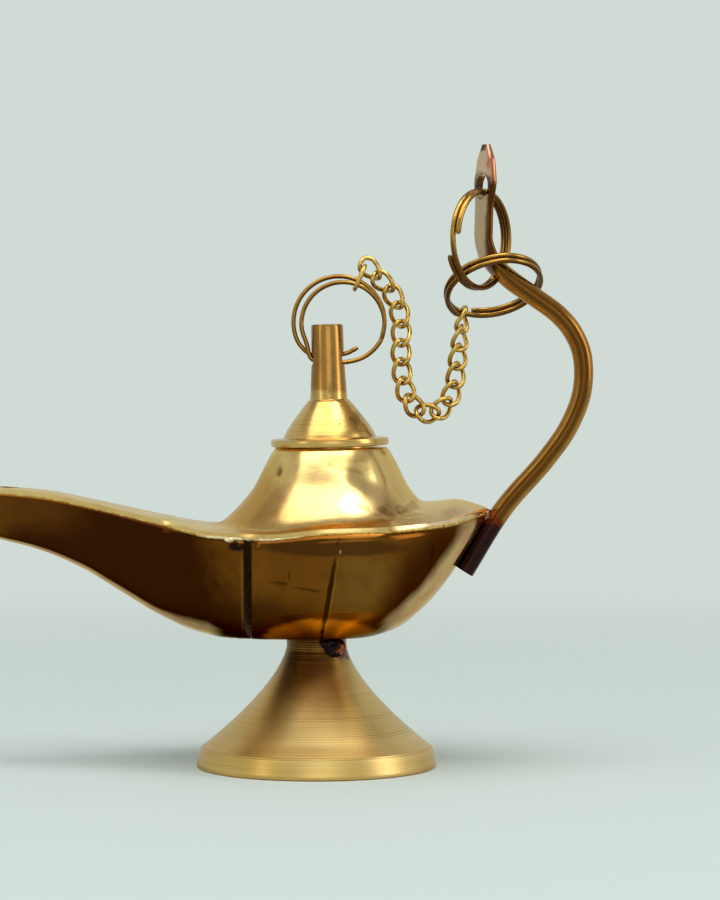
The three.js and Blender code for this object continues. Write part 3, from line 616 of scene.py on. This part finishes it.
half_width_at = body_curve(HALF_WIDTH, [
    (-1, 0.06), (-0.992, 0.13), (-0.975, 0.165), (-0.95, 0.187), (-0.82, 0.24), (-0.64, 0.3),
    (-0.46, 0.39), (-0.4, 0.475), (-0.3, 0.69), (-0.15, 0.915), (0.08, 1), (0.35, 0.955),
    (0.58, 0.765), (0.79, 0.46), (1, 0.02),
])
rim_height_at = body_curve(BOWL_DEPTH, [
    (-1, 1.336), (-0.815, 1.286), (-0.637, 1.175), (-0.46, 1.05), (-0.3, 0.954), (-0.15, 0.945),
    (0.087, 1), (0.44, 1.014), (0.76, 1.05), (1, 1.129),
])
keel_height_at = body_curve(BOWL_DEPTH, [
    (-1, 0.935), (-0.82, 0.788), (-0.7, 0.631), (-0.582, 0.41), (-0.464, 0.189), (-0.345, 0.032),
    (-0.178, -0.065), (0, -0.078), (0.233, -0.032), (0.458, 0.069), (0.603, 0.235),
    (0.732, 0.456), (0.808, 0.622), (1, 1.09),
])
crown_at = body_curve(BOWL_DEPTH, [
    (-1, 0.005), (-0.4, 0.015), (-0.22, 0.04), (0.09, 0.07), (0.55, 0.15), (0.78, 0.155), (1, 0.01),
])
bell_height_at = curve_through([
    (NECK_OUTSIDE + out, NECK_TOP - down) for out, down in [
        (0, 0), (1, 1.5), (2.4, 4.2), (4, 7.4), (6.2, 10.4), (9, 13.4), (12.8, 17.1), (18.8, 23.6),
    ]
])


def on_lamp(x, y, z):
    """A point that is given from the middle of the foot's top."""
    return Vector((AXIS_X + x, y, FOOT_TOP + z))


def powered(value, power):
    """A power that keeps the value's sign."""
    return copysign(abs(value) ** power, value)


# %% [markdown]
# ## The bowl and the spout
# The lower shell is pressed in two pieces that meet in an upright groove below the spout's root. A
# U-shaped line of vertices is drawn along the body; where it would dip below the foot's top it is
# held level, which makes the flat floor. A Solidify modifier gives the sheet its thickness inwards.

# %% Bowl and spout skins
GROOVE_DEPTH, GROOVE_WIDTH = 0.5, 1.3
SEAM_GAP = 0.3
SQUARENESS, SQUARE_FROM, SQUARE_OVER = 0.3, -40, 16
SHELL_STEPS, SECTION_POINTS, END_CROWDING = 90, 65, 0.6
SAME_PLACE = 1e-3


def section_point(turn, x, inset, drop=0, lift=0):
    """A point of the lower shell's section at x, for a turn from 0 at one rim to 1 at the other."""
    power = 2 / (2 + SQUARENESS * min(max((x - SQUARE_FROM) / SQUARE_OVER, 0), 1))
    cosine, sine = cos(pi * turn), max(sin(pi * turn), 0)
    rim = rim_height_at(x) - drop
    height = max(rim - (rim - keel_height_at(x)) * sine ** power, 0)
    return on_lamp(x, (inset - half_width_at(x)) * powered(cosine, power), height + lift * sine)


def hull_point(turn, x):
    groove = GROOVE_DEPTH * exp(-(((x + SPOUT_SEAM) / GROOVE_WIDTH) ** 2))
    return section_point(turn, x, groove, SEAM_GAP / 2)


def lower_shell(name, first, last, closed_end):
    """A pressed piece between two places along the body, with stations that crowd at its ends."""
    places = []
    for i in range(SHELL_STEPS + 1):
        t = i / SHELL_STEPS
        eased = (1 - cos(pi * t)) / 2
        places.append(first + (last - first) * (t + (eased - t) * END_CROWDING))
    shell = drawn_skin(
        SECTION_POINTS, SHELL_STEPS, lambda turn, step: hull_point(turn, places[step]), loop=False,
    )
    wires = [edge for edge in shell.edges if edge.is_boundary
             and all(abs(v.co.x / MM - AXIS_X - closed_end) < SAME_PLACE for v in edge.verts)]
    tips = bmesh.ops.edgenet_prepare(shell, edges=wires)["edges"]
    bmesh.ops.triangle_fill(shell, edges=tips, use_beauty=True)
    piece = finish_piece(
        closed(shell), name + "_pressed", "lamp", BOWL_BRASS, [name], 50,
    )
    wall = piece.modifiers.new("sheet thickness", "SOLIDIFY")
    wall.thickness = SHELL_WALL * MM
    wall.offset = -1


lower_shell("bowl_shell", SEAM_GAP / 2 - SPOUT_SEAM, STERN_REACH, STERN_REACH)
lower_shell("spout_trough", -SPOUT_REACH, -SPOUT_SEAM - SEAM_GAP / 2, -SPOUT_REACH)

# %% [markdown]
# ## The top
# The top shell is one pressing: the flat deck of the spout swells into the bell round the neck. The
# loop of its leaf-shaped edge is drawn inwards along spokes, up the bell and over the neck's lip.
# Because every ring comes from the one before, the sheet is one smooth net with no seam.

# %% Top skin
EDGE_TURNS, SPOKE_STEPS = 260, 44
EDGE_EVENNESS, OUTER_CROWDING = 0.35, 0.02
BELL_BLEND = 0.9
LIP = [(0.25, 0.12), (NECK_OUTSIDE - NECK_BORE - 0.2, 0.05), (NECK_OUTSIDE - NECK_BORE, -2.5)]
WICK_LENGTH, WICK_WIDTH, WICK_SETBACK = 6.6, 5.4, 1.3


def top_height_at(x, y):
    """The height of the deck or the bell, whichever is higher, with a soft change between them."""
    across = min(abs(y) / max(half_width_at(x), 0.3), 1)
    deck = rim_height_at(x) + SHELL_WALL + crown_at(x) * (1 - across ** 2)
    rise = bell_height_at(hypot(x - NECK_X, y)) - deck
    return deck + (rise + hypot(rise, BELL_BLEND)) / 2 * (1 - across ** 8)


def edge_point(turn):
    """A point of the leaf-shaped edge: turn 0 is the spout's tip, and 0.5 the stern's."""
    t = 1 - abs(2 * turn - 1)
    eased = (1 - cos(pi * t)) / 2
    share = eased + (t - eased) * EDGE_EVENNESS
    x = -SPOUT_REACH + (SPOUT_REACH + STERN_REACH) * share
    return x, copysign(half_width_at(x), turn - 0.5)


def top_point(turn, step):
    x, y = edge_point((turn + 0.5 / EDGE_TURNS) % 1)
    if step < 2:
        return on_lamp(x, y, rim_height_at(x) + (SEAM_GAP / 2, SHELL_WALL * 0.7)[step])
    reach = hypot(x - NECK_X, y)
    t = min((step - 2 + 0.25) / (SPOKE_STEPS - 2), 1)
    crowding = 1 + max(reach - HALF_WIDTH, 0) * OUTER_CROWDING
    radius = NECK_OUTSIDE + (reach - NECK_OUTSIDE) * (1 - t) ** crowding
    plan_x, plan_y = NECK_X + (x - NECK_X) * radius / reach, y * radius / reach
    height = top_height_at(plan_x, plan_y)
    if step > SPOKE_STEPS:
        inward, rise = LIP[step - SPOKE_STEPS - 1]
        shrink = (NECK_OUTSIDE - inward) / NECK_OUTSIDE
        plan_x, plan_y = NECK_X + (plan_x - NECK_X) * shrink, plan_y * shrink
        height = NECK_TOP + rise
    return on_lamp(plan_x, plan_y, height)


top_skin = closed(drawn_skin(EDGE_TURNS, SPOKE_STEPS + len(LIP), top_point))
bmesh.ops.solidify(top_skin, geom=top_skin.faces, thickness=SHELL_WALL * 0.8 * MM)
wick_x = -SPOUT_REACH + WICK_SETBACK + WICK_LENGTH / 2
wick_place = (
    Matrix.Translation(on_lamp(wick_x, 0, rim_height_at(wick_x)))
    @ Matrix.Diagonal((1, WICK_WIDTH / WICK_LENGTH, 1, 1))
)
top_skin = drilled(top_skin, WICK_LENGTH / 2, wick_place, 48)
finish_piece(top_skin, "top_shell_pressed", "lamp", TOP_BRASS, ["top_shell"], 50)

# %% [markdown]
# ## The lid
# Plug, flange, domed cone and stem are turned in one piece, and a hole is drilled across the stem
# for the ring. The hole is a Boolean cut after the spin. The lid sits a little crooked in the neck,
# so everything on it is turned by the same small tilt.

# %% Lid
LID_TILT = radians(1.4)
FLANGE_RADIUS, FLANGE_THICKNESS = 11.8, 1.5
DOME_RADIUS, DOME_HEIGHT = 9.2, 7.6
SHOULDER_RADIUS = 4.1
STEM_RADIUS, STEM_FOOT_RADIUS, STEM_HEIGHT = 3.2, 3.7, 15.2
STEM_HOLE, STEM_HOLE_DROP = 1.65, 6.8
PLUG_RADIUS, PLUG_DEPTH, PLUG_WALL = 8.9, 3, 1.2
dome_bottom = FLANGE_THICKNESS + 0.4
dome_top = FLANGE_THICKNESS + DOME_HEIGHT
stem_top = dome_top + STEM_HEIGHT
lid_place = Matrix.Translation(
    on_lamp(NECK_X - 0.3, 0, NECK_TOP + 0.1 + FLANGE_RADIUS * sin(LID_TILT))
) @ Matrix.Rotation(-LID_TILT, 4, "Y")

lid_outline = [
    (0, 0), (PLUG_RADIUS - PLUG_WALL, 0), (PLUG_RADIUS - PLUG_WALL, -PLUG_DEPTH + 0.1),
    (PLUG_RADIUS - PLUG_WALL + 0.1, -PLUG_DEPTH), (PLUG_RADIUS - 0.15, -PLUG_DEPTH),
    (PLUG_RADIUS, -PLUG_DEPTH + 0.15), (PLUG_RADIUS, 0), (FLANGE_RADIUS - 0.35, 0),
    (FLANGE_RADIUS - 0.08, 0.12), (FLANGE_RADIUS, 0.4), (FLANGE_RADIUS, FLANGE_THICKNESS - 0.4),
    (FLANGE_RADIUS - 0.1, FLANGE_THICKNESS - 0.12), (FLANGE_RADIUS - 0.4, FLANGE_THICKNESS),
    (DOME_RADIUS + 1.1, FLANGE_THICKNESS), (DOME_RADIUS + 0.4, FLANGE_THICKNESS + 0.12),
    (DOME_RADIUS + 0.08, FLANGE_THICKNESS + 0.25),
]
for i in range(25):
    share = i / 24
    lid_outline.append((
        DOME_RADIUS + (SHOULDER_RADIUS - DOME_RADIUS) * share ** 1.2,
        dome_bottom + (dome_top - dome_bottom) * share,
    ))
lid_outline += [
    (STEM_FOOT_RADIUS + 0.15, dome_top + 0.08), (STEM_FOOT_RADIUS, dome_top + 0.35),
    (STEM_RADIUS + 0.1, dome_top + STEM_HEIGHT / 2), (STEM_RADIUS, stem_top - 0.45),
    (STEM_RADIUS - 0.12, stem_top - 0.12), (STEM_RADIUS - 0.45, stem_top), (0, stem_top),
]
LAID_ALONG_X = Matrix.Rotation(pi / 2, 4, "Y")
stem_hole_place = Matrix.Translation((0, 0, stem_top - STEM_HOLE_DROP))
lid_skin = drilled(turned_skin(lid_outline, 120), STEM_HOLE, stem_hole_place @ LAID_ALONG_X)
finish_piece(moved(lid_skin, lid_place), "lid_turned", "lid", LID_BRASS, ["lid"])

# %% [markdown]
# ## The handle
# The handle is a round rod, bent cold, with its upper part hammered to a blade that ends in a small
# hood with a drilled hole. A circle is drawn along the rod's middle line. The hammer only presses
# one way, so in the blade the circle grows wider and is then clamped to the blade's thickness.

# %% Middle line of the rod
ROD_RADIUS = 1.95
BLADE_HALF_THICKNESS, BLADE_HALF_WIDTH = 0.8, 2.9
HOOD_HALF_WIDTH, HOOD_TIP_HALF_WIDTH = 3.6, 1.2
BLADE_YAW = radians(25)
HOOD_HOLE_RADIUS, HOOD_HOLE_DROP = 2.6, 8.4
ROD_POINTS = [
    (-4.7, -11.7), (3.2, 1), (11.5, 10.6), (16.2, 17.4), (18.8, 24.4), (18.8, 31.6), (16.8, 36.4),
    (13.9, 39.8), (9, 43.4), (3.8, 47.2), (0.6, 50.4), (-0.8, 54), (-0.9, 58), (-0.7, 63),
    (-0.5, 68), (-0.4, 73.6),
]


def spline_through(points, count, samples=40):
    """Evenly spaced points on a centripetal Catmull-Rom curve, as the solid's route."""
    knots = [2 * points[0] - points[1], *points, 2 * points[-1] - points[-2]]
    dense = []
    for p0, p1, p2, p3 in zip(knots, knots[1:], knots[2:], knots[3:]):
        t1 = (p1 - p0).length ** 0.5
        t2 = t1 + (p2 - p1).length ** 0.5
        t3 = t2 + (p3 - p2).length ** 0.5
        for i in range(samples):
            t = t1 + (t2 - t1) * i / samples
            a1, a2 = p0.lerp(p1, t / t1), p1.lerp(p2, (t - t1) / (t2 - t1))
            a3 = p2.lerp(p3, (t - t2) / (t3 - t2))
            b1, b2 = a1.lerp(a2, t / t2), a2.lerp(a3, (t - t1) / (t3 - t1))
            dense.append(b1.lerp(b2, (t - t1) / (t2 - t1)))
    dense.append(points[-1].copy())
    walked = [0]
    for a, b in zip(dense, dense[1:]):
        walked.append(walked[-1] + (b - a).length)
    even, i = [], 0
    for step in range(count + 1):
        target = walked[-1] * step / count
        while i < len(walked) - 2 and walked[i + 1] < target:
            i += 1
        part = (target - walked[i]) / (walked[i + 1] - walked[i])
        even.append(dense[i].lerp(dense[i + 1], part))
    return even


def directions(points, cyclic=False):
    """The direction of a route at each of its points."""
    first, last = (points[-1], points[0]) if cyclic else (points[0], points[-1])
    around = [first, *points, last]
    return [(after - before).normalized() for before, after in zip(around, around[2:])]


HANDLE_STEPS = 220
stern_rim = rim_height_at(STERN_REACH)
rod_line = spline_through(
    [on_lamp(STERN_REACH + x, 0, stern_rim + z) for x, z in ROD_POINTS], HANDLE_STEPS,
)
rod_forward = directions(rod_line)

# %% Rod, blade and hood
BLADE_START, BLADE_FULL, HOOD_MIDDLE = 0.66, 0.8, 0.925
DENT_DEPTH = 0.015
width_at = curve_through([
    (0, ROD_RADIUS), (BLADE_START, ROD_RADIUS), (BLADE_FULL, BLADE_HALF_WIDTH),
    (0.87, BLADE_HALF_WIDTH), (HOOD_MIDDLE, HOOD_HALF_WIDTH), (0.965, HOOD_HALF_WIDTH * 0.82),
    (1, HOOD_TIP_HALF_WIDTH),
])
thickness_at = curve_through([
    (0, ROD_RADIUS), (BLADE_START, ROD_RADIUS), (BLADE_FULL, BLADE_HALF_THICKNESS),
    (0.96, BLADE_HALF_THICKNESS), (1, BLADE_HALF_THICKNESS * 0.6),
])


def handle_point(turn, step):
    share = step / HANDLE_STEPS
    forward = rod_forward[step]
    blade = min(max((share - BLADE_START) / (BLADE_FULL - BLADE_START), 0), 1)
    blade = blade * blade * (3 - 2 * blade)
    twist = Matrix.Rotation(BLADE_YAW * blade, 3, forward)
    across = twist @ Vector((0, 1, 0))
    outward = twist @ Vector((0, 1, 0)).cross(forward)
    wide, thick = width_at(share), thickness_at(share)
    dent = 1 + DENT_DEPTH * blade * (sin(share * 83) + sin(share * 137 + 1))
    soft = thick * tanh(wide * cos(tau * turn) / thick)
    flat = wide * cos(tau * turn) * (1 - blade) + soft * blade
    return rod_line[step] + outward * flat + across * (wide * dent * sin(tau * turn))


handle_skin = closed(drawn_skin(40, HANDLE_STEPS, handle_point, caps=True))
hood_tip = rod_line[-1]
hood_hole = Vector((hood_tip.x - 0.2, 0, hood_tip.z - HOOD_HOLE_DROP))
hood_hole_place = (
    Matrix.Translation(hood_hole) @ Matrix.Rotation(BLADE_YAW, 4, "Z") @ LAID_ALONG_X
)
handle_skin = drilled(handle_skin, HOOD_HOLE_RADIUS, hood_hole_place)
finish_piece(handle_skin, "handle_hammered", "lamp", ROD_BRASS, ["handle"], 40)

# %% [markdown]
# ## Rings of wire
# A split ring is wire wound nearly twice round, so a link can be worked on between its turns. Each
# route is worked out as a list of points, and a small circle is drawn along it. The circle's frame
# is carried from point to point with the least turning, so the wire never twists on itself.

# %% Wire along a route
END_ROUNDING = 0.7
WORN = 0.97
HANDLE_RING_WIRE, HANDLE_RING_RADIUS = 1.15, 9.6
HANDLE_RING_TURNS, HANDLE_RING_TURN_GAP = 1.93, 0.1
HOOD_RING_LIFT = 1


def beside(middle, turn, aside, across):
    """A point of the ellipse round middle whose half axes are aside and across."""
    return middle + aside * cos(tau * turn) + across * sin(tau * turn)


def wire_piece(name, route, wire, place, material, around=14, cyclic=False):
    """Round wire along a route in millimetres, which stands for the solid of the same name."""
    forwards = directions(route, cyclic)
    side = forwards[0].orthogonal().normalized()
    frames = []
    for forward in forwards:
        side = (side - forward * side.dot(forward)).normalized()
        frames.append((side, forward.cross(side)))
    if cyclic:
        first, last = frames[0][0], frames[-1][0]
        slip = atan2(first.cross(last).dot(forwards[0]), first.dot(last))
        for i, forward in enumerate(forwards):
            undo = Matrix.Rotation(-slip * i / len(route), 3, forward)
            frames[i] = [undo @ axis for axis in frames[i]]
        route, frames = [*route, route[0]], [*frames, frames[0]]

    def wire_point(turn, step):
        cut_end = not cyclic and step in (0, len(route) - 1)
        radius = wire / 2 * (END_ROUNDING if cut_end else 1)
        return beside(route[step], turn, *[axis * radius for axis in frames[step]])

    skin = closed(drawn_skin(around, len(route) - 1, wire_point, caps=not cyclic))
    finish_piece(moved(skin, place), name + "_wire", name, material, [name])


def split_ring_route(start, steps=150):
    """Two turns of wire lying side by side, in the ring's own plane."""
    pitch = HANDLE_RING_WIRE + HANDLE_RING_TURN_GAP
    route = []
    for turns in [HANDLE_RING_TURNS * i / steps for i in range(steps + 1)]:
        angle = start + turns * tau
        side = (turns - HANDLE_RING_TURNS / 2) * pitch
        route.append(Vector((cos(angle), sin(angle), 0)) * HANDLE_RING_RADIUS
                     + Vector((0, 0, side)))
    return route


def turned_about(*angles):
    """A turn about X, then Y, then Z, in degrees."""
    return Euler([radians(angle) for angle in angles]).to_matrix().to_4x4()


# %% Hood ring and rod ring
HOOD_RING_YAW, HOOD_RING_LEAN = 54.5, radians(5.4)
sideways = turned_about(0, 0, HOOD_RING_YAW) @ Vector((1, 0, 0))
wire_height = hood_hole.z - HOOD_HOLE_RADIUS + HANDLE_RING_WIRE / 2 + HOOD_RING_LIFT
hood_ring_middle = Vector((hood_hole.x, 0, wire_height - HANDLE_RING_RADIUS * cos(HOOD_RING_LEAN)))
hood_ring_middle -= sideways * (HANDLE_RING_RADIUS * sin(HOOD_RING_LEAN) + HOOD_RING_LIFT)
hood_ring_place = Matrix.Translation(hood_ring_middle) @ turned_about(90, 0, HOOD_RING_YAW)
ROD_RING_GRIP = radians(108)
rod_ring_place = Matrix.Translation(on_lamp(STERN_REACH + 1.15, 2.9, stern_rim + 45.3))
rod_ring_place @= turned_about(-36, 2.4, 21.2)
for name, start, place in [
    ("hood_ring", radians(200), hood_ring_place),
    ("rod_ring", ROD_RING_GRIP + pi * (2 - HANDLE_RING_TURNS), rod_ring_place),
]:
    wire_piece(name, split_ring_route(start), HANDLE_RING_WIRE * WORN, place, RING_BRASS, 16)

# %% Lid ring
LID_RING_WIRE, LID_RING_RADIUS, LID_RING_SPREAD = 0.95, 8.3, 0.8
LID_RING_TURN_GAP, LID_RING_LEAD, LID_RING_RISE = 1.15, 3.2, 6.8


def ring_turn(x, z, radius, y, first, last, steps=9):
    angles = [radians(first + (last - first) * i / steps) for i in range(steps + 1)]
    return [(x + radius * cos(a), y, z + radius * sin(a)) for a in angles]


back = LID_RING_TURN_GAP / 2
lid_ring_points = [
    (6.1, back, 2), (STEM_RADIUS + 0.4, back, 0.85), (0, back, 0.6), (-STEM_RADIUS, back, 0.7),
    *ring_turn(LID_RING_LEAD - LID_RING_SPREAD, LID_RING_RISE + 0.4,
               LID_RING_RADIUS + LID_RING_SPREAD, back, 205, -8),
    (10.4, 0.2, 2.9), (7.5, 0, 0.2), (STEM_RADIUS + 0.6, -0.2, -0.85), (0, -back, -0.6),
    (-STEM_RADIUS, -back, -0.1),
    *ring_turn(LID_RING_LEAD, LID_RING_RISE, LID_RING_RADIUS, -back, 208, -22),
]
lid_ring_route = spline_through([Vector(point) for point in lid_ring_points], 170)
wire_piece("lid_ring", lid_ring_route, LID_RING_WIRE * WORN, lid_place @ stem_hole_place, RING_BRASS)

# %% [markdown]
# ## The curb chain
# A curb link is an oval of wire that is twisted along its length, so that its neighbours lie flat
# beside it. The chain's hinges are in the CAD frame, one between each pair of links, so each link
# goes from one hinge to the next. The first link is a plain oval round both turns of the lid ring.

# %% One link
CHAIN_WIRE, CHAIN_SLACK, LINK_WIDTH, LINK_TWIST = 0.85, 0.3, 4.3, radians(90)
LINK_SQUARENESS = 2.5
CHAIN_WORN_WIRE = 0.94


def link_route(length, width, twist, steps=40):
    """The middle line of a link that lies along X, flat in XY at its middle."""
    route = []
    for i in range(steps):
        angle = tau * i / steps
        lengthwise = powered(cos(angle), 2 / LINK_SQUARENESS)
        across = (width - CHAIN_WIRE) / 2 * powered(sin(angle), 2 / LINK_SQUARENESS)
        turn = twist / 2 * lengthwise
        route.append(Vector((
            (length - CHAIN_WIRE) / 2 * lengthwise, across * cos(turn), across * sin(turn),
        )))
    return route


# %% The links between their hinges
LINKS, LINK_ROLLS = 17, [(0, 38), (3, 36), (7, 2), (12, 0), (15, 45)]


def middle_of(name):
    return sum(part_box(name), Vector()) / 2 / MM


names = [f"chain_link_{i + 1:02d}" for i in range(LINKS)]
pivots = {joint["child"]: joint["pos_m"] for joint in frame["joints"] if "pos_m" in joint}
hinges = [Vector(pivots[name]) / MM for name in names[1:]]
pitch = (hinges[1] - hinges[0]).length
hinges.insert(0, hinges[0] + (middle_of(names[1]) - hinges[0]).normalized() * pitch)
chain_yaw = degrees(atan2(hinges[-1].y - hinges[1].y, hinges[-1].x - hinges[1].x))
link_roll_at = curve_through(LINK_ROLLS)
route = link_route(pitch + 2 * CHAIN_WIRE + CHAIN_SLACK, LINK_WIDTH, LINK_TWIST)
for i, (name, start, end) in enumerate(zip(names[1:], hinges, hinges[1:])):
    ahead = end - start
    flat = copysign(hypot(ahead.x, ahead.y), ahead.x)
    climb = degrees(atan2(ahead.z, flat))
    place = Matrix.Translation((start + end) / 2)
    place @= turned_about(90 + link_roll_at(i), -climb, chain_yaw)
    wire_piece(name, route, CHAIN_WORN_WIRE, place, CHAIN_BRASS, 12, cyclic=True)

# %% The first link
FIRST_LINK_EYE, FIRST_LINK_WIDTH = 4.3, 5.4
GRIP_ANGLE = 66
first_place = Matrix.Translation(middle_of(names[0])) @ turned_about(0, -GRIP_ANGLE, 0)
route = link_route(FIRST_LINK_EYE + 2 * CHAIN_WIRE, FIRST_LINK_WIDTH, 0)
wire_piece(names[0], route, CHAIN_WORN_WIRE, first_place, CHAIN_BRASS, 12, cyclic=True)

# %% [markdown]
# ## Solder
# The shells are soft-soldered along the rim and at the spout's seam. Solder never lies evenly: it
# piles up in beads and sinks between them. Each run here is a thin tube of uneven width, half sunk
# into the joint that it fills.

# %% Solder along a route
BEAD_UNEVENNESS, LUMP_UNEVENNESS = 0.12, 0.18
SOLDER_CREASE = 80


def wander(value, seed):
    """A smooth, uneven wave between about -1 and 1."""
    return (sin(value * 1.7 + seed) + sin(value * 4.3 + 2.1 * seed)
            + 0.7 * sin(value * 9.1 + 3.7 * seed)) / 2.7


def solder_piece(name, skin, material):
    finish_piece(skin, name, "lamp", material, (), SOLDER_CREASE)


def solder_run(name, route, half_widths, seed):
    """A bead along a route of points in millimetres, with its half width at each of them."""
    forwards = directions(route)

    def place(turn, step):
        side = forwards[step].cross(Vector((0, 0, 1))).normalized()
        other = side.cross(forwards[step]).normalized()
        radius = half_widths[step] * (1 + BEAD_UNEVENNESS * wander(step * 0.55 + turn * 2, seed))
        if step in (0, len(route) - 1):
            radius *= 0.3
        return beside(route[step], turn, side * radius, other * radius)

    solder_piece(name, closed(drawn_skin(9, len(route) - 1, place, caps=True)), SOLDER)


# %% Rim
RIM_BEAD, RIM_STEPS = 0.36, 420
RIM_START, RIM_LENGTH = 0.8 - SPOUT_REACH, SPOUT_REACH + STERN_REACH - 1.4
THICKEST, THICK_OVER = -14, 11
rim_stations = [RIM_START + RIM_LENGTH * i / RIM_STEPS for i in range(RIM_STEPS + 1)]
bead_widths = [
    RIM_BEAD * (0.895 + 0.105 * exp(-(((x - THICKEST) / THICK_OVER) ** 2)))
    for x in rim_stations
]
for side, name in ((-1, "rim_solder_near"), (1, "rim_solder_far")):
    route = [
        on_lamp(x, side * (half_width_at(x) - RIM_BEAD * 0.85), rim_height_at(x))
        for x in rim_stations
    ]
    solder_run(name, route, bead_widths, side + 2.4)

# %% Seam of the spout
SEAM_FILL, SEAM_INSET, SEAM_STEPS = (1.1, 0.3), 0.42, 70
seam_route = [
    section_point(0.0005 + 0.999 * i / SEAM_STEPS, -SPOUT_SEAM, SEAM_INSET, lift=SEAM_INSET)
    for i in range(SEAM_STEPS + 1)
]
seam_forward = directions(seam_route)


def seam_point(turn, step):
    """A flat bead that lies in the groove, and is a little uneven along it."""
    outward = seam_forward[step].cross(Vector((1, 0, 0)))
    wide, thick = [half * (1 + 0.05 * wander(step * 0.4 + turn, 0.7)) for half in SEAM_FILL]
    if step in (0, SEAM_STEPS):
        wide, thick = wide * 0.9, thick * 0.5
    return beside(seam_route[step], turn, Vector((wide, 0, 0)), outward * thick)


seam_skin = closed(drawn_skin(16, SEAM_STEPS, seam_point, caps=True))
# its near-black finish is painted shade in the groove
solder_piece("seam_solder_in_painted_shade", seam_skin, SEAM_SOLDER_PAINTED_SHADE)


# %% Lumps
def lump(name, middle, half_size, seed, material):
    """A cooled drop of metal: a ball that is squashed and made uneven."""
    skin = bmesh.new()
    bmesh.ops.create_icosphere(skin, subdivisions=4, radius=1)
    for vert in skin.verts:
        p = vert.co.copy()
        uneven = wander(p.x * 2.1 + p.z * 1.3, seed) + wander(p.y * 2.6 - p.z * 1.9, seed + 1.3)
        reach = [half * c * (1 + LUMP_UNEVENNESS * uneven) for half, c in zip(half_size, p)]
        vert.co = (on_lamp(*middle) + Vector(reach)) * MM
    bmesh.ops.recalc_face_normals(skin, faces=skin.faces)
    solder_piece(name, skin, material)


drop_x = -SPOUT_SEAM - 3
drop_place = (drop_x, 0.6 - half_width_at(drop_x), rim_height_at(drop_x) - 0.2)
lump("foot_braze", (3.3, -4.9, -2.1), (2.3, 1.5, 1.9), 2.3, BRAZE)
lump("foot_braze_drip", (2.2, -5.6, -1.1), (1.6, 1.1, 1.0), 4.1, BRAZE)
lump("foot_braze_back", (-3, 5, -1.6), (2.2, 1.4, 1.5), 3.2, BRAZE)
lump("seam_drip", (-SPOUT_SEAM, -4, 0.1), (1.1, 2.2, 0.45), 1.1, SOLDER)
lump("rim_drop", drop_place, (1.6, 0.6, 0.55), 5.2, SOLDER)
lump("stern_braze", (STERN_REACH - 0.1, 0, stern_rim - 0.6), (1.1, 1.3, 1.4), 0.4, STERN_BRAZE)

# %% [markdown]
# ## Floor and light
# The lamp stands on a pale round floor that curves up into a wall on every side, so it can be seen
# from anywhere. Close to the lamp the floor is plain paper and takes its shadow. Further out, rays
# from the camera and the metal see the paper's own colour, so background and reflections stay even.
# A wide softbox overhead makes the broad highlight on the bell, and weaker lamps draw the edges.

# %% Floor
PAPER = "d1dbd6"
FLOOR_PAPER = "c7d1cc"
profile = [
    (0, 0), (450, 0), (850, 0), (1000, 10), (1200, 60), (1380, 180), (1480, 340), (1520, 600),
    (1520, 950), (1520, 1300),
]
dish = turned_skin(profile, 48)
bmesh.ops.reverse_faces(dish, faces=dish.faces)
backdrop = new_object("backdrop", dish)
rounding = backdrop.modifiers.new("rounding", "SUBSURF")
rounding.levels = rounding.render_levels = 2

# %% Paper
paper = bpy.data.materials.new("backdrop_paper")
paper.use_nodes = True
shade(paper, Base_Color=colour(FLOOR_PAPER), Roughness=0.8)
place = add(paper, "TexCoord", "Object")
reach = add(paper, "VectorMath", "Value", {"operation": "LENGTH"}, i0=place)
far = add(paper, "MapRange", 0, {"interpolation_type": "SMOOTHSTEP"}, Value=reach,
          From_Min=0.13, From_Max=0.5)
seen = 0.0
for ray in ("Is Camera Ray", "Is Glossy Ray", "Is Transmission Ray"):
    hit = add(paper, "LightPath", ray)
    seen = add(paper, "Math", 0, {"operation": "MAXIMUM"}, i0=seen, i1=hit)
share = add(paper, "Math", 0, {"operation": "MULTIPLY"}, i0=far, i1=seen)
glow = add(paper, "Emission", Color=colour(PAPER), Strength=1.0)
plain = paper.node_tree.nodes["Principled BSDF"].outputs["BSDF"]
surface = add(paper, "MixShader", i0=share, i1=plain, i2=glow)
plug(paper, paper.node_tree.nodes["Material Output"], Surface=surface)
backdrop.data.materials.append(paper)


# %% Lamps and world
def soft_lamp(name, place, size, power):
    """A soft rectangle of light that is aimed at the lamp, and that the camera doesn't see."""
    light = bpy.data.lights.new(name, "AREA")
    light.shape = "RECTANGLE"
    light.size, light.size_y = size
    light.energy = power
    holder = bpy.data.objects.new(name, light)
    holder.location = place
    aim = Vector((AXIS_X * MM, 0, 0.06)) - Vector(place)
    holder.rotation_euler = aim.to_track_quat("-Z", "Y").to_euler()
    holder.visible_camera = False
    bpy.context.scene.collection.objects.link(holder)


soft_lamp("softbox", (-0.12, -0.32, 1.0), (1.3, 0.75), 7.5)
soft_lamp("core", (0.28, -0.12, 0.95), (0.36, 0.26), 1.5)
soft_lamp("front_fill", (0.12, -1.1, 0.3), (0.6, 0.5), 1.0)
soft_lamp("left_fill", (-0.75, -0.55, 0.45), (0.16, 0.7), 0.6)
soft_lamp("right_fill", (0.9, -0.25, 0.35), (0.3, 0.7), 1.8)

world = bpy.data.worlds.new("room")
bpy.context.scene.world = world
world.use_nodes = True
plug(world, world.node_tree.nodes["Background"], Color=colour("dfe3e0"), Strength=0.6)
bpy.context.scene.view_settings.view_transform = "Standard"
